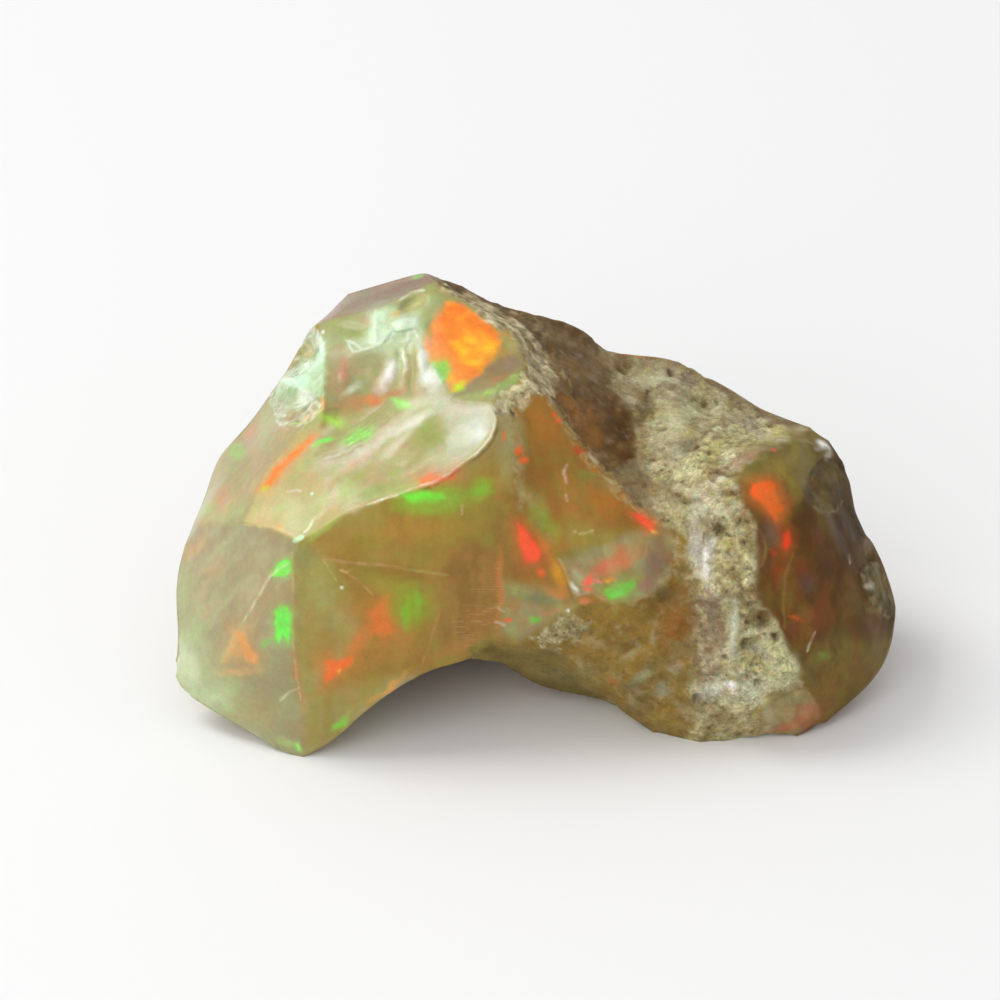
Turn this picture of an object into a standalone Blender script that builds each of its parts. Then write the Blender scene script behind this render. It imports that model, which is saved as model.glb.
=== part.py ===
"""Rough opal: one broken lump of precious opal, still bonded to the porous rock that it grew in.

The stone is laid out from landmarks: corners, ridges and points on its broken faces. A landmark
is (across, down, depth). Across and down are pixels of the photograph, and depth is in
millimetres from the middle of the stone, towards the eye. The landmarks are joined into a cage,
the cage is rounded between its ridges, the rock gets its lumps and pits, and a level cut makes
the face that the stone rests on. Units are metres, and +Z is up.
"""

import math

import bmesh
import bpy
from mathutils import Vector, noise

# Driving dimensions
MM = 0.001
STONE_LENGTH = 34.0 * MM
LENGTH_IN_PIXELS = 723.0
PIXEL = STONE_LENGTH / LENGTH_IN_PIXELS

# The eye that the landmarks are laid out for
VIEW_CENTRE = (500.0, 500.0)
VIEW_DISTANCE = 350.0 * MM
VIEW_ELEVATION = math.radians(30)

# The middle of the stone, as a landmark, and the level of the cut under it
HEART = (520, 520, -1.5)
BASE_LEVEL = -9.40 * MM

# How the landmarks are joined: the stone is twice as long as it is deep, so its length is
# squeezed before neighbours are looked for
RIDGE_STEP = 14.0
LEAST_ANGLE = math.radians(1.3)
SQUEEZE = 0.55

# Grades of surface: glassy opal, brown skin and porous rock. Each landmark holds good as far as
# the next one, and none decides alone within the blur
OPAL, SKIN, ROCK = 0.0, 0.5, 1.0
GLASSY = 0.1
GRADE_BLUR = 0.2 * MM

# The outline that the eye sees, clockwise from the highest point
OUTLINE = (
    (SKIN, ((428, 273, -1.0), (447, 281, -1.5), (478, 294, -2.6), (500, 303, -3.0))),
    (SKIN, ((519, 310, -3.4), (550, 317, -4.0), (567, 321, -4.2), (580, 327, -4.4))),
    (SKIN, ((592, 339, -4.6), (610, 352, -5.0))),
    (ROCK, ((625, 353, -5.2), (640, 356, -5.2), (660, 360, -5.2), (684, 366, -5.2))),
    (ROCK, ((700, 374, -5.2), (717, 382, -5.1), (732, 391, -5.0), (745, 399, -4.8))),
    (ROCK, ((760, 410, -4.6), (778, 413, -4.2), (799, 424, -3.6))),
    (OPAL, ((820, 431, -3.0), (837, 450, -2.6), (850, 480, -2.5), (856, 510, -2.4))),
    (OPAL, ((865, 532, -2.4), (880, 554, -2.4), (890, 583, -2.2), (896, 603, -2.0))),
    (OPAL, ((895, 620, -1.9), (893, 638, -1.8), (886, 665, -1.5), (867, 688, -1.0))),
    (OPAL, ((848, 704, -0.5), (826, 722, 0.1), (797, 736, 0.5), (775, 746, 0.9))),
    (ROCK, ((760, 742, 0.8), (742, 735, 0.5), (722, 741, 0.7), (700, 745, 0.9))),
    (SKIN, ((668, 736, 0.4), (653, 733, 0.2), (638, 724, 0.0), (624, 716, -0.2))),
    (SKIN, ((610, 700, -0.8), (590, 696, -1.2), (550, 690, -1.4), (530, 684, -1.0))),
    (SKIN, ((508, 668, 0.0), (490, 661, 1.6), (475, 656, 2.9), (458, 662, 3.3))),
    (OPAL, ((430, 670, 3.5), (405, 683, 3.5), (380, 700, 3.3), (355, 720, 2.8))),
    (OPAL, ((340, 736, 2.4), (322, 748, 2.1), (303, 760, 2.0), (290, 755, 1.8))),
    (OPAL, ((275, 748, 1.6), (250, 730, 1.2), (220, 716, 0.9), (195, 699, 0.4))),
    (OPAL, ((178, 690, 0.0), (172, 677, -0.3), (177, 655, -0.4), (179, 630, -0.5))),
    (OPAL, ((176, 605, -0.8), (176, 577, -1.0), (185, 545, -1.3), (200, 508, -1.6))),
    (OPAL, ((208, 490, -1.8), (214, 465, -1.9), (224, 449, -1.9), (243, 432, -2.0))),
    (OPAL, ((262, 407, -2.0), (285, 374, -2.0), (301, 345, -2.0), (309, 331, -2.0))),
    (OPAL, ((330, 312, -2.0), (348, 294, -2.0), (385, 283, -1.9), (412, 275, -1.4))),
)

# Crisp ridges between broken faces, each a line of landmarks
RIDGES = (
    # The rim of the long scoop, from the window round to the front corner
    (OPAL, ((492, 403, 5.1), (496, 420, 5.7), (490, 440, 6.1), (478, 452, 6.3), (460, 465, 6.5),
            (440, 477, 6.6), (420, 487, 6.7), (400, 495, 6.7), (380, 500, 6.7), (360, 506, 6.6),
            (340, 515, 6.5), (320, 529, 6.4), (299, 541, 6.3))),
    # Across the left side to the front corner
    (OPAL, ((200, 524, 0.1), (222, 523, 2.2), (243, 522, 3.9), (262, 525, 4.7), (280, 531, 5.6),
            (299, 541, 6.3))),
    # Up the left side
    (OPAL, ((243, 522, 3.9), (262, 480, 4.1), (285, 450, 4.3), (300, 432, 4.4), (323, 408, 4.3),
            (323, 385, 3.0), (323, 360, 1.6), (322, 336, 0.1))),
    # From the front corner down to the pointed foot
    (OPAL, ((299, 541, 6.3), (292, 562, 5.9), (291, 592, 5.4), (293, 650, 4.4), (298, 705, 3.2),
            (303, 757, 2.0))),
    # The edge of the striped face
    (OPAL, ((292, 562, 5.9), (270, 580, 5.0), (258, 600, 4.4), (240, 625, 3.5), (215, 650, 2.1),
            (192, 667, 0.7))),
    # The seam between the left block and the middle faces
    (ROCK, ((507, 406, 4.8), (512, 430, 5.3), (512, 455, 5.6), (511, 480, 5.95), (513, 505, 6.15),
            (520, 525, 6.0), (545, 562, 5.5), (560, 582, 5.2), (578, 600, 4.9))),
    # The orange window: its left edge, its foot and its rock border
    (OPAL, ((437, 287, 0.2), (430, 303, 0.7), (424, 325, 1.5), (422, 345, 2.2), (427, 363, 3.0),
            (440, 380, 3.7), (450, 399, 4.3), (470, 402, 4.7), (492, 403, 5.1))),
    (ROCK, ((437, 287, 0.2), (465, 301, 0.7), (480, 311, 1.0), (500, 326, 1.5), (516, 342, 2.2),
            (524, 362, 3.0), (520, 385, 4.0), (507, 406, 4.8))),
    # The front edge of the narrow top face
    (OPAL, ((316, 325, -0.8), (340, 316, 0.1), (360, 312, 0.3), (380, 308, 0.5), (402, 298, 0.4),
            (420, 291, 0.3), (437, 287, 0.2))),
    # The crest of the chips under the top face
    (OPAL, ((340, 340, 1.2), (350, 353, 1.9), (365, 350, 1.9), (380, 345, 1.9), (386, 328, 1.4),
            (382, 312, 0.7))),
    # The rim of the middle face and the edge of its hanging lobe
    (SKIN, ((520, 399, 4.5), (535, 392, 4.1), (548, 400, 3.9), (566, 426, 4.0), (590, 455, 4.1),
            (605, 478, 4.2), (625, 495, 4.4), (640, 510, 4.4), (668, 524, 4.3))),
    (OPAL, ((668, 524, 4.3), (675, 545, 4.2), (673, 562, 4.2), (665, 580, 4.4), (650, 594, 4.5),
            (628, 602, 4.8), (600, 603, 4.9), (578, 600, 4.9))),
    # The overhang of the dark underside
    (SKIN, ((488, 646, 3.2), (508, 643, 3.0), (536, 648, 2.9), (572, 657, 2.6), (592, 670, 2.1),
            (606, 684, 1.5))),
    # Where the rock laps over the right face
    (ROCK, ((800, 437, 0.0), (780, 446, 1.2), (760, 452, 2.4), (745, 465, 3.5), (737, 485, 4.3),
            (745, 505, 4.7), (757, 525, 4.8), (757, 565, 4.8), (757, 600, 4.6), (780, 625, 4.2),
            (787, 645, 3.9), (800, 665, 3.3), (803, 690, 2.4), (770, 693, 2.8), (762, 715, 2.0),
            (757, 737, 0.9))),
    # The ridges of the back
    (OPAL, ((330, 330, -3.6), (345, 380, -6.2), (365, 440, -8.3), (380, 500, -9.3),
            (385, 560, -9.3), (380, 612, -8.6))),
    (ROCK, ((450, 300, -4.5), (470, 360, -8.2), (500, 430, -10.4), (540, 500, -11.2),
            (590, 550, -11.4), (640, 590, -10.9))),
    (SKIN, ((815, 455, -4.6), (800, 510, -7.6), (790, 560, -8.8), (785, 610, -8.4),
            (775, 650, -7.2))),
)

# Points on the faces between the ridges
FACES = (
    # The front face of the left block
    (OPAL, ((330, 560, 6.1), (360, 540, 6.4), (400, 540, 6.4), (440, 520, 6.4), (480, 495, 6.3))),
    (OPAL, ((480, 540, 6.1), (440, 570, 5.8), (400, 590, 5.6), (350, 600, 5.4), (322, 605, 5.3))),
    (OPAL, ((470, 600, 5.0), (430, 630, 4.6), (380, 640, 4.6), (330, 655, 4.5), (322, 705, 3.4))),
    (OPAL, ((350, 690, 3.7), (400, 660, 4.1), (450, 648, 3.7), (480, 628, 4.1), (503, 545, 5.9))),
    (OPAL, ((504, 575, 5.3), (502, 602, 4.7), (499, 626, 4.0), (490, 470, 6.2))),
    # The foot of the scoop's rim and the scoop's floor
    (OPAL, ((484, 412, 5.1), (482, 432, 5.4), (470, 446, 5.6), (452, 458, 5.8), (434, 469, 5.9))),
    (OPAL, ((414, 479, 6.0), (396, 486, 6.0), (376, 491, 6.0), (356, 496, 6.0), (336, 504, 5.9))),
    (OPAL, ((316, 518, 5.8), (462, 420, 4.8), (445, 440, 5.0), (420, 458, 5.3), (395, 466, 5.3))),
    (OPAL, ((365, 474, 5.4), (335, 483, 5.3), (430, 408, 4.2), (412, 430, 4.5), (385, 440, 4.6))),
    (OPAL, ((358, 452, 4.8), (330, 460, 4.9), (305, 475, 4.8), (288, 497, 4.7), (272, 511, 4.6))),
    (OPAL, ((306, 508, 5.4), (400, 410, 3.8), (375, 420, 4.0), (350, 430, 4.3), (326, 430, 4.4))),
    # The fluted slope over the scoop
    (OPAL, ((345, 405, 3.6), (370, 398, 3.3), (392, 388, 3.0), (414, 380, 3.0), (430, 388, 3.6))),
    (OPAL, ((342, 378, 2.6), (365, 374, 2.5), (390, 364, 2.1), (406, 348, 1.9), (335, 360, 1.8))),
    (OPAL, ((400, 325, 1.6), (413, 312, 1.0), (355, 330, 1.0), (333, 328, 0.5), (398, 310, 0.9))),
    # The chipped left shoulder
    (OPAL, ((312, 350, -0.7), (304, 366, -0.2), (294, 385, 0.0), (314, 372, 0.9), (308, 396, 2.1))),
    (OPAL, ((290, 404, 1.2), (306, 416, 3.3), (284, 424, 2.7), (266, 440, 1.9), (247, 455, 0.9))),
    (OPAL, ((262, 463, 3.0), (242, 485, 2.4), (224, 480, 0.6), (222, 502, 1.3))),
    # The striped face and the milky lower left
    (OPAL, ((272, 552, 5.1), (250, 545, 3.9), (230, 542, 2.6), (208, 548, 1.0), (262, 577, 4.6))),
    (OPAL, ((240, 578, 3.4), (215, 578, 1.9), (195, 585, 0.5), (235, 605, 3.1), (210, 612, 1.7))),
    (OPAL, ((193, 625, 0.5), (212, 635, 1.8), (276, 610, 4.9), (268, 640, 4.2), (245, 655, 3.2))),
    (OPAL, ((275, 672, 3.7), (220, 675, 2.0), (250, 690, 2.6), (278, 705, 2.9), (205, 690, 1.0))),
    (OPAL, ((272, 730, 2.2), (240, 712, 1.8), (196, 650, 0.8))),
    # The narrow top face
    (OPAL, ((345, 306, -0.9), (370, 298, -0.7), (400, 288, -0.6), (422, 282, -0.4))),
    # The orange window
    (OPAL, ((445, 310, 1.0), (445, 345, 2.4), (455, 375, 3.6), (470, 330, 1.8), (480, 360, 3.1))),
    (OPAL, ((500, 350, 2.6), (500, 382, 4.1))),
    # The brown skin over the top and down into the hollow
    (SKIN, ((460, 290, -1.0), (490, 308, -1.2), (510, 318, -1.6), (530, 340, 0.4))),
    (SKIN, ((550, 340, -1.8), (575, 343, -3.2), (535, 360, 1.4), (555, 360, -0.2))),
    (SKIN, ((580, 361, -1.8), (600, 362, -3.4), (545, 379, 2.2), (565, 380, 0.9))),
    (SKIN, ((590, 382, -0.6), (612, 382, -2.4), (565, 402, 2.2), (585, 401, 1.0))),
    (SKIN, ((605, 401, -0.3), (625, 400, -1.7), (580, 421, 2.6), (600, 420, 1.4))),
    (SKIN, ((620, 420, 0.0), (640, 418, -1.0), (595, 440, 3.0), (612, 440, 1.7))),
    (SKIN, ((630, 440, 0.4), (612, 458, 2.8), (630, 460, 1.7), (630, 478, 3.2))),
    # The pale rock behind and beside the hollow
    (ROCK, ((632, 372, -4.1), (650, 380, -3.6), (675, 382, -3.3), (700, 390, -3.6))),
    (ROCK, ((655, 400, -2.4), (675, 402, -1.7), (698, 408, -2.1), (722, 410, -2.6))),
    (ROCK, ((660, 422, -0.9), (682, 424, -0.2), (706, 428, -0.6), (730, 430, -1.2))),
    (ROCK, ((755, 430, -2.0), (660, 445, 0.5), (685, 446, 1.2), (708, 446, 0.9))),
    (ROCK, ((730, 446, 0.6), (648, 462, 1.6), (668, 468, 2.3), (690, 466, 2.5))),
    (ROCK, ((712, 464, 2.4), (650, 485, 3.2), (672, 486, 3.4), (695, 484, 3.7))),
    (ROCK, ((718, 480, 3.7), (660, 504, 4.2), (686, 504, 4.4), (712, 502, 4.6))),
    # The rock band down the front
    (ROCK, ((690, 530, 4.5), (715, 530, 5.0), (738, 528, 4.9), (692, 560, 4.4))),
    (ROCK, ((717, 560, 5.0), (740, 560, 4.9), (688, 592, 4.0), (712, 595, 4.7))),
    (ROCK, ((738, 592, 4.8), (690, 628, 3.6), (715, 628, 4.3), (745, 622, 4.6))),
    (ROCK, ((700, 660, 3.2), (728, 660, 3.9), (760, 652, 4.2), (780, 672, 3.6))),
    (ROCK, ((708, 692, 2.5), (735, 690, 3.2), (752, 680, 3.4), (700, 718, 1.7), (728, 716, 2.1))),
    # The amber middle face and its lobe
    (OPAL, ((530, 420, 4.6), (548, 440, 4.6), (530, 460, 5.2), (562, 460, 4.6), (548, 490, 5.1))),
    (OPAL, ((582, 480, 4.7), (532, 500, 5.7), (562, 515, 5.3), (600, 502, 4.9), (585, 535, 5.4))),
    (OPAL, ((622, 522, 5.1), (612, 552, 5.4), (642, 540, 4.9), (655, 562, 4.7), (590, 572, 5.4))),
    (OPAL, ((562, 550, 5.5), (622, 584, 5.1))),
    # The flashing face under the seam, with its rock patch
    (OPAL, ((515, 552, 5.7), (530, 572, 5.1), (516, 580, 5.0), (545, 596, 4.7), (522, 604, 4.3))),
    (OPAL, ((562, 608, 4.6), (512, 630, 3.7), (532, 626, 4.0))),
    (ROCK, ((545, 632, 4.0), (562, 626, 4.4), (582, 632, 4.1), (560, 642, 3.7))),
    # The brown lower middle
    (SKIN, ((604, 622, 4.0), (632, 620, 3.9), (660, 606, 3.9), (678, 582, 4.0), (592, 648, 3.4))),
    (SKIN, ((620, 655, 3.1), (650, 640, 3.5), (676, 628, 3.7), (612, 668, 2.5), (640, 680, 2.5))),
    (SKIN, ((668, 660, 3.1), (634, 704, 1.5), (660, 702, 2.1), (682, 690, 2.5), (656, 720, 1.2))),
    # The smooth right face
    (OPAL, ((760, 480, 3.9), (777, 500, 4.3), (772, 462, 2.6), (792, 470, 2.7), (802, 500, 3.5))),
    (OPAL, ((790, 530, 4.3), (775, 560, 4.5), (802, 570, 4.0), (812, 540, 3.5), (826, 518, 2.4))),
    (OPAL, ((802, 610, 3.9), (777, 598, 4.3), (826, 590, 3.0), (845, 560, 1.7), (850, 600, 1.9))),
    (OPAL, ((830, 630, 2.6), (812, 655, 2.9), (866, 630, 1.0), (850, 660, 1.1), (872, 600, 0.3))),
    (OPAL, ((800, 455, 1.2), (815, 470, 0.6), (830, 500, 0.6), (822, 448, -1.2), (826, 690, 1.2))),
    (OPAL, ((868, 570, -0.3), (872, 660, -0.1), (784, 708, 2.0), (788, 725, 1.2), (808, 712, 1.4))),
    # The back: broken opal on its left, skin and rock over the rest
    (OPAL, ((300, 400, -4.6), (290, 460, -6.0), (270, 520, -6.2), (260, 580, -5.4))),
    (OPAL, ((320, 480, -8.0), (320, 540, -8.3), (230, 500, -3.6), (220, 560, -3.4))),
    (OPAL, ((400, 300, -3.6), (395, 340, -5.4), (420, 380, -7.0), (430, 440, -8.6))),
    (OPAL, ((450, 500, -9.6), (475, 560, -10.0), (420, 560, -9.4), (410, 500, -9.0))),
    (ROCK, ((540, 350, -6.6), (560, 400, -9.0), (600, 370, -6.8), (560, 450, -10.3))),
    (ROCK, ((600, 450, -9.8), (650, 500, -10.4), (620, 540, -11.0), (640, 410, -8.3))),
    (ROCK, ((680, 460, -9.2), (700, 540, -10.2), (690, 410, -6.8), (720, 440, -7.4))),
    (ROCK, ((740, 500, -8.9), (770, 460, -6.2), (740, 560, -9.6), (700, 590, -10.0))),
    (SKIN, ((830, 510, -5.2), (850, 560, -4.6), (840, 610, -5.4), (862, 642, -3.4))),
    (SKIN, ((822, 650, -5.6), (840, 675, -3.0), (530, 570, -11.0), (580, 600, -10.6))),
)

# The underside: an arch between the feet, and the ground that the level cut takes off
UNDERSIDE = (
    (OPAL, ((330, 722, 0.2), (300, 705, -1.3), (280, 680, -2.5), (360, 685, -2.2))),
    (OPAL, ((400, 662, -3.2), (440, 645, -4.2), (470, 642, -0.8), (440, 655, 0.8))),
    (OPAL, ((410, 672, 0.6), (370, 695, 0.8), (240, 665, -2.6), (215, 650, -2.2))),
    (OPAL, ((290, 640, -6.0), (250, 630, -4.4), (350, 636, -8.0), (315, 645, -7.0))),
    (OPAL, ((330, 600, -7.7), (420, 610, -9.3), (400, 640, -7.0), (240, 695, -1.0))),
    (SKIN, ((500, 650, -2.5), (520, 662, -3.6), (480, 640, -5.0), (500, 652, -7.2))),
    (SKIN, ((460, 622, -8.6), (560, 672, -5.8), (620, 686, -4.8), (540, 640, -8.6))),
    (ROCK, ((620, 640, -8.8), (690, 702, -4.5), (740, 712, -3.0), (700, 736, -1.2))),
    (ROCK, ((690, 650, -8.6), (740, 656, -8.0), (780, 722, -1.8), (650, 722, -2.0))),
    (SKIN, ((790, 676, -6.0), (828, 694, -3.6), (600, 700, -3.0), (560, 615, -10.2))),
)

# Dents and bumps: centre, radius and height in millimetres, inwards where the height is negative
DENTS = (
    ((628, 436, 0.7), 0.9, -0.30),
    ((690, 446, 1.2), 0.8, -0.35),
    ((705, 402, -2.4), 0.9, -0.35),
    ((672, 374, -3.9), 0.8, -0.30),
    ((697, 498, 4.3), 0.6, -0.25),
    ((753, 616, 4.6), 0.8, -0.35),
    ((750, 648, 4.3), 0.7, -0.30),
    ((716, 536, 5.0), 0.8, -0.30),
    ((302, 368, 0.0), 0.9, -0.35),
    ((302, 410, 2.2), 0.9, -0.40),
    ((412, 302, 0.8), 0.9, -0.30),
    ((828, 492, 0.6), 0.9, 0.18),
    ((874, 590, 0.1), 1.1, 0.18),
    ((766, 560, 4.7), 0.5, 0.25),
    ((663, 365, -4.9), 1.3, 0.20),
    ((705, 470, 3.2), 1.2, 0.25),
    ((712, 590, 4.8), 1.0, 0.20),
    ((735, 655, 4.1), 1.3, 0.25),
)

# Relief of the rock, in millimetres: coarse lumps and finer grain
LUMP_SIZE, LUMP_HEIGHT = 2.2, 0.26
GRAIN_SIZE, GRAIN_HEIGHT = 1.1, 0.12
GRAIN_SHIFT = Vector((7, 3, 5))
LONGEST_ROCK_EDGE = 0.75 * MM
LEAST_EDGE = 0.01 * MM

# Ripples that spread from the blow which split the scoop off
RIPPLE_CENTRE = (330, 330, 1.0)
RIPPLE_FROM, RIPPLE_TO = 4.2, 6.6
RIPPLE_LENGTH, RIPPLE_HEIGHT = 0.8, 0.05


def place(landmark):
    """The point in metres of a landmark, measured from the point that the eye looks at."""
    across, down, depth = landmark
    depth = depth * MM
    spread = PIXEL * (1 - depth / VIEW_DISTANCE)
    right = (across - VIEW_CENTRE[0]) * spread
    up = (VIEW_CENTRE[1] - down) * spread
    back = up * math.sin(VIEW_ELEVATION) - depth * math.cos(VIEW_ELEVATION)
    height = up * math.cos(VIEW_ELEVATION) + depth * math.sin(VIEW_ELEVATION)
    return Vector((right, back, height))


def along(line):
    """The landmarks of a ridge, with more between any two that lie far apart."""
    points = [line[0]]
    for start, end in zip(line, line[1:]):
        gap = math.hypot(end[0] - start[0], end[1] - start[1])
        steps = max(1, round(gap / RIDGE_STEP))
        for step in range(1, steps + 1):
            share = step / steps
            points.append(tuple(a + (b - a) * share for a, b in zip(start, end)))
    return points


class Cage:
    """The landmarks as points and grades, and the pairs of them that a ridge joins."""

    def __init__(self):
        self.heart = place(HEART)
        self.points = []
        self.rays = []
        self.grades = []
        self.ridge_pairs = []

    def add(self, landmark, grade, keep_apart=True):
        """Takes a landmark in, or finds the one that is already there. Returns its number."""
        point = place(landmark)
        ray = point - self.heart
        ray.x *= SQUEEZE
        ray.normalize()
        least = math.cos(LEAST_ANGLE)
        for number, other in enumerate(self.rays):
            if ray.dot(other) > least:
                return None if keep_apart else number
        self.points.append(point)
        self.rays.append(ray)
        self.grades.append(grade)
        return len(self.points) - 1

    def add_ridge(self, line, grade):
        numbers = [self.add(landmark, grade, keep_apart=False) for landmark in along(line)]
        for pair in zip(numbers, numbers[1:]):
            if pair[0] != pair[1]:
                self.ridge_pairs.append(pair)

    def grade_at(self, point):
        """How rocky the surface is here, from the nearest landmarks."""
        total = 0.0
        weight = 0.0
        for other, grade in zip(self.points, self.grades):
            near = 1.0 / ((point - other).length_squared + GRADE_BLUR ** 2) ** 2
            total += grade * near
            weight += near
        return total / weight


def landmark_cage():
    cage = Cage()
    for grade, line in RIDGES:
        cage.add_ridge(line, grade)
    for group in (OUTLINE, FACES, UNDERSIDE):
        for grade, landmarks in group:
            for landmark in landmarks:
                cage.add(landmark, grade)
    return cage


def skin_of(cage):
    """A closed mesh through the landmarks: each one is seen from the heart in its own direction,
    so the hull of those directions says which landmarks are neighbours."""
    shape = bmesh.new()
    for ray in cage.rays:
        shape.verts.new(ray)
    shape.verts.ensure_lookup_table()
    corners = list(shape.verts)
    bmesh.ops.convex_hull(shape, input=shape.verts)
    for corner, point in zip(corners, cage.points):
        corner.co = point
    for first, second in cage.ridge_pairs:
        edge = shape.edges.get((corners[first], corners[second]))
        if edge:
            edge.smooth = False
    loose = [vert for vert in shape.verts if not vert.link_faces]
    bmesh.ops.delete(shape, geom=loose, context="VERTS")
    soft = [edge for edge in shape.edges if edge.smooth]
    bmesh.ops.beautify_fill(shape, faces=shape.faces, edges=soft, method="ANGLE")
    bmesh.ops.recalc_face_normals(shape, faces=shape.faces)
    return shape


def corner_normals(shape):
    """The normal of every face corner, rounded over soft edges and split at ridges."""
    mesh = bpy.data.meshes.new("normals")
    shape.to_mesh(mesh)
    normals = [Vector(normal.vector) for normal in mesh.corner_normals]
    found = {}
    for polygon in mesh.polygons:
        for loop in polygon.loop_indices:
            found[polygon.index, mesh.loops[loop].vertex_index] = normals[loop]
    bpy.data.meshes.remove(mesh)
    return found


def ends_of(first, second):
    """A name for the edge between two points, which stays true when the mesh is cut finer."""
    return frozenset((first.co.copy().freeze(), second.co.copy().freeze()))


def round_off(shape):
    """Cuts every edge in two and lifts its middle onto the curve that the normals ask for."""
    shape.verts.index_update()
    shape.faces.index_update()
    normals = corner_normals(shape)
    middles = {}
    for edge in shape.edges:
        start, end = edge.verts
        span = end.co - start.co
        lift = Vector()
        for face in edge.link_faces:
            at_start = normals[face.index, start.index]
            at_end = normals[face.index, end.index]
            lift -= (span.dot(at_start) * at_start - span.dot(at_end) * at_end) / 8
        middles[ends_of(start, end)] = (start.co + end.co) / 2 + lift / len(edge.link_faces)
    made = bmesh.ops.subdivide_edges(shape, edges=shape.edges, cuts=1, use_grid_fill=True)
    new = {item for item in made["geom_inner"] if isinstance(item, bmesh.types.BMVert)}
    places = {}
    for vert in new:
        near = [edge.other_vert(vert) for edge in vert.link_edges]
        places[vert] = middles[ends_of(*(other for other in near if other not in new))]
    for vert, point in places.items():
        vert.co = point
    bmesh.ops.triangulate(shape, faces=shape.faces)


def refine_rock(shape, cage):
    """Cuts the long edges in the rock, so that its lumps have points to stand on."""
    long_edges = []
    for edge in shape.edges:
        middle = (edge.verts[0].co + edge.verts[1].co) / 2
        if edge.calc_length() > LONGEST_ROCK_EDGE and middle.z > BASE_LEVEL:
            if cage.grade_at(middle) > SKIN:
                long_edges.append(edge)
    bmesh.ops.subdivide_edges(shape, edges=long_edges, cuts=1)
    bmesh.ops.triangulate(shape, faces=shape.faces)


def relief_at(point, grade):
    """The height in metres of the rock's lumps and grain at a point."""
    lumps = noise.noise(point / (LUMP_SIZE * MM))
    grain = noise.noise(point / (GRAIN_SIZE * MM) + GRAIN_SHIFT)
    return (lumps * LUMP_HEIGHT + grain * GRAIN_HEIGHT) * grade * MM


def dent_at(point):
    """The height in metres of the dents and bumps at a point."""
    height = 0.0
    for landmark, radius, rise in DENTS:
        share = (point - place(landmark)).length / (radius * MM)
        if share < 1:
            height += rise * MM * (1 - share * share) ** 2
    return height


def ripple_at(point, grade):
    """The height in metres of the ripples in the scoop."""
    far = (point - place(RIPPLE_CENTRE)).length / MM
    if not RIPPLE_FROM < far < RIPPLE_TO or grade > GLASSY:
        return 0.0
    fade = math.sin(math.pi * (far - RIPPLE_FROM) / (RIPPLE_TO - RIPPLE_FROM))
    return fade * RIPPLE_HEIGHT * MM * math.sin(2 * math.pi * far / RIPPLE_LENGTH)


def add_relief(shape, cage):
    shape.normal_update()
    moves = []
    for vert in shape.verts:
        grade = cage.grade_at(vert.co)
        height = relief_at(vert.co, grade) + dent_at(vert.co) + ripple_at(vert.co, grade)
        moves.append(vert.normal * height)
    for vert, move in zip(shape.verts, moves):
        vert.co += move


def cut_base(shape):
    """Cuts the stone off level, so that it rests on flat faces."""
    geometry = list(shape.verts) + list(shape.edges) + list(shape.faces)
    bmesh.ops.bisect_plane(
        shape, geom=geometry, plane_co=(0, 0, BASE_LEVEL), plane_no=(0, 0, -1), clear_outer=True
    )
    open_edges = [edge for edge in shape.edges if edge.is_boundary]
    bmesh.ops.holes_fill(shape, edges=open_edges, sides=0)
    bmesh.ops.dissolve_degenerate(shape, edges=shape.edges, dist=LEAST_EDGE)
    bmesh.ops.triangulate(shape, faces=shape.faces)
    bmesh.ops.recalc_face_normals(shape, faces=shape.faces)


def stand_on_origin(shape):
    """Moves the stone so that the origin is under the middle of its box."""
    lowest = Vector([min(vert.co[axis] for vert in shape.verts) for axis in range(3)])
    highest = Vector([max(vert.co[axis] for vert in shape.verts) for axis in range(3)])
    middle = (lowest + highest) / 2
    move = Vector((-middle.x, -middle.y, -lowest.z))
    bmesh.ops.translate(shape, vec=move, verts=shape.verts)


def opal_material():
    material = bpy.data.materials.new("opal")
    material.use_nodes = True
    shader = material.node_tree.nodes["Principled BSDF"]
    shader.inputs["Base Color"].default_value = (0.36, 0.26, 0.10, 1.0)
    shader.inputs["Roughness"].default_value = 0.25
    shader.inputs["Metallic"].default_value = 0.0
    material.diffuse_color = (0.36, 0.26, 0.10, 1.0)
    return material


def clear_scene():
    for thing in list(bpy.data.objects):
        bpy.data.objects.remove(thing, do_unlink=True)


def build():
    clear_scene()
    cage = landmark_cage()
    shape = skin_of(cage)
    round_off(shape)
    refine_rock(shape, cage)
    add_relief(shape, cage)
    cut_base(shape)
    stand_on_origin(shape)

    mesh = bpy.data.meshes.new("rough_opal")
    shape.to_mesh(mesh)
    shape.free()
    stone = bpy.data.objects.new("rough_opal", mesh)
    stone.data.materials.append(opal_material())
    parts = bpy.data.collections.new("rough opal")
    bpy.context.scene.collection.children.link(parts)
    parts.objects.link(stone)
    return stone


build()
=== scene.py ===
"""Rough opal: the finished surface, its colours, the floor, the light and the camera.

The stone's solid comes from the frame. Its surface is cut finer, rounded between the ridges, and
given the chips, ripples, lumps and pores of the real one. Places on the face that the photograph
shows are (across, down) in its pixels. Lengths are in millimetres inside the functions, and the
finished mesh is in metres.
"""

import math

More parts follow.
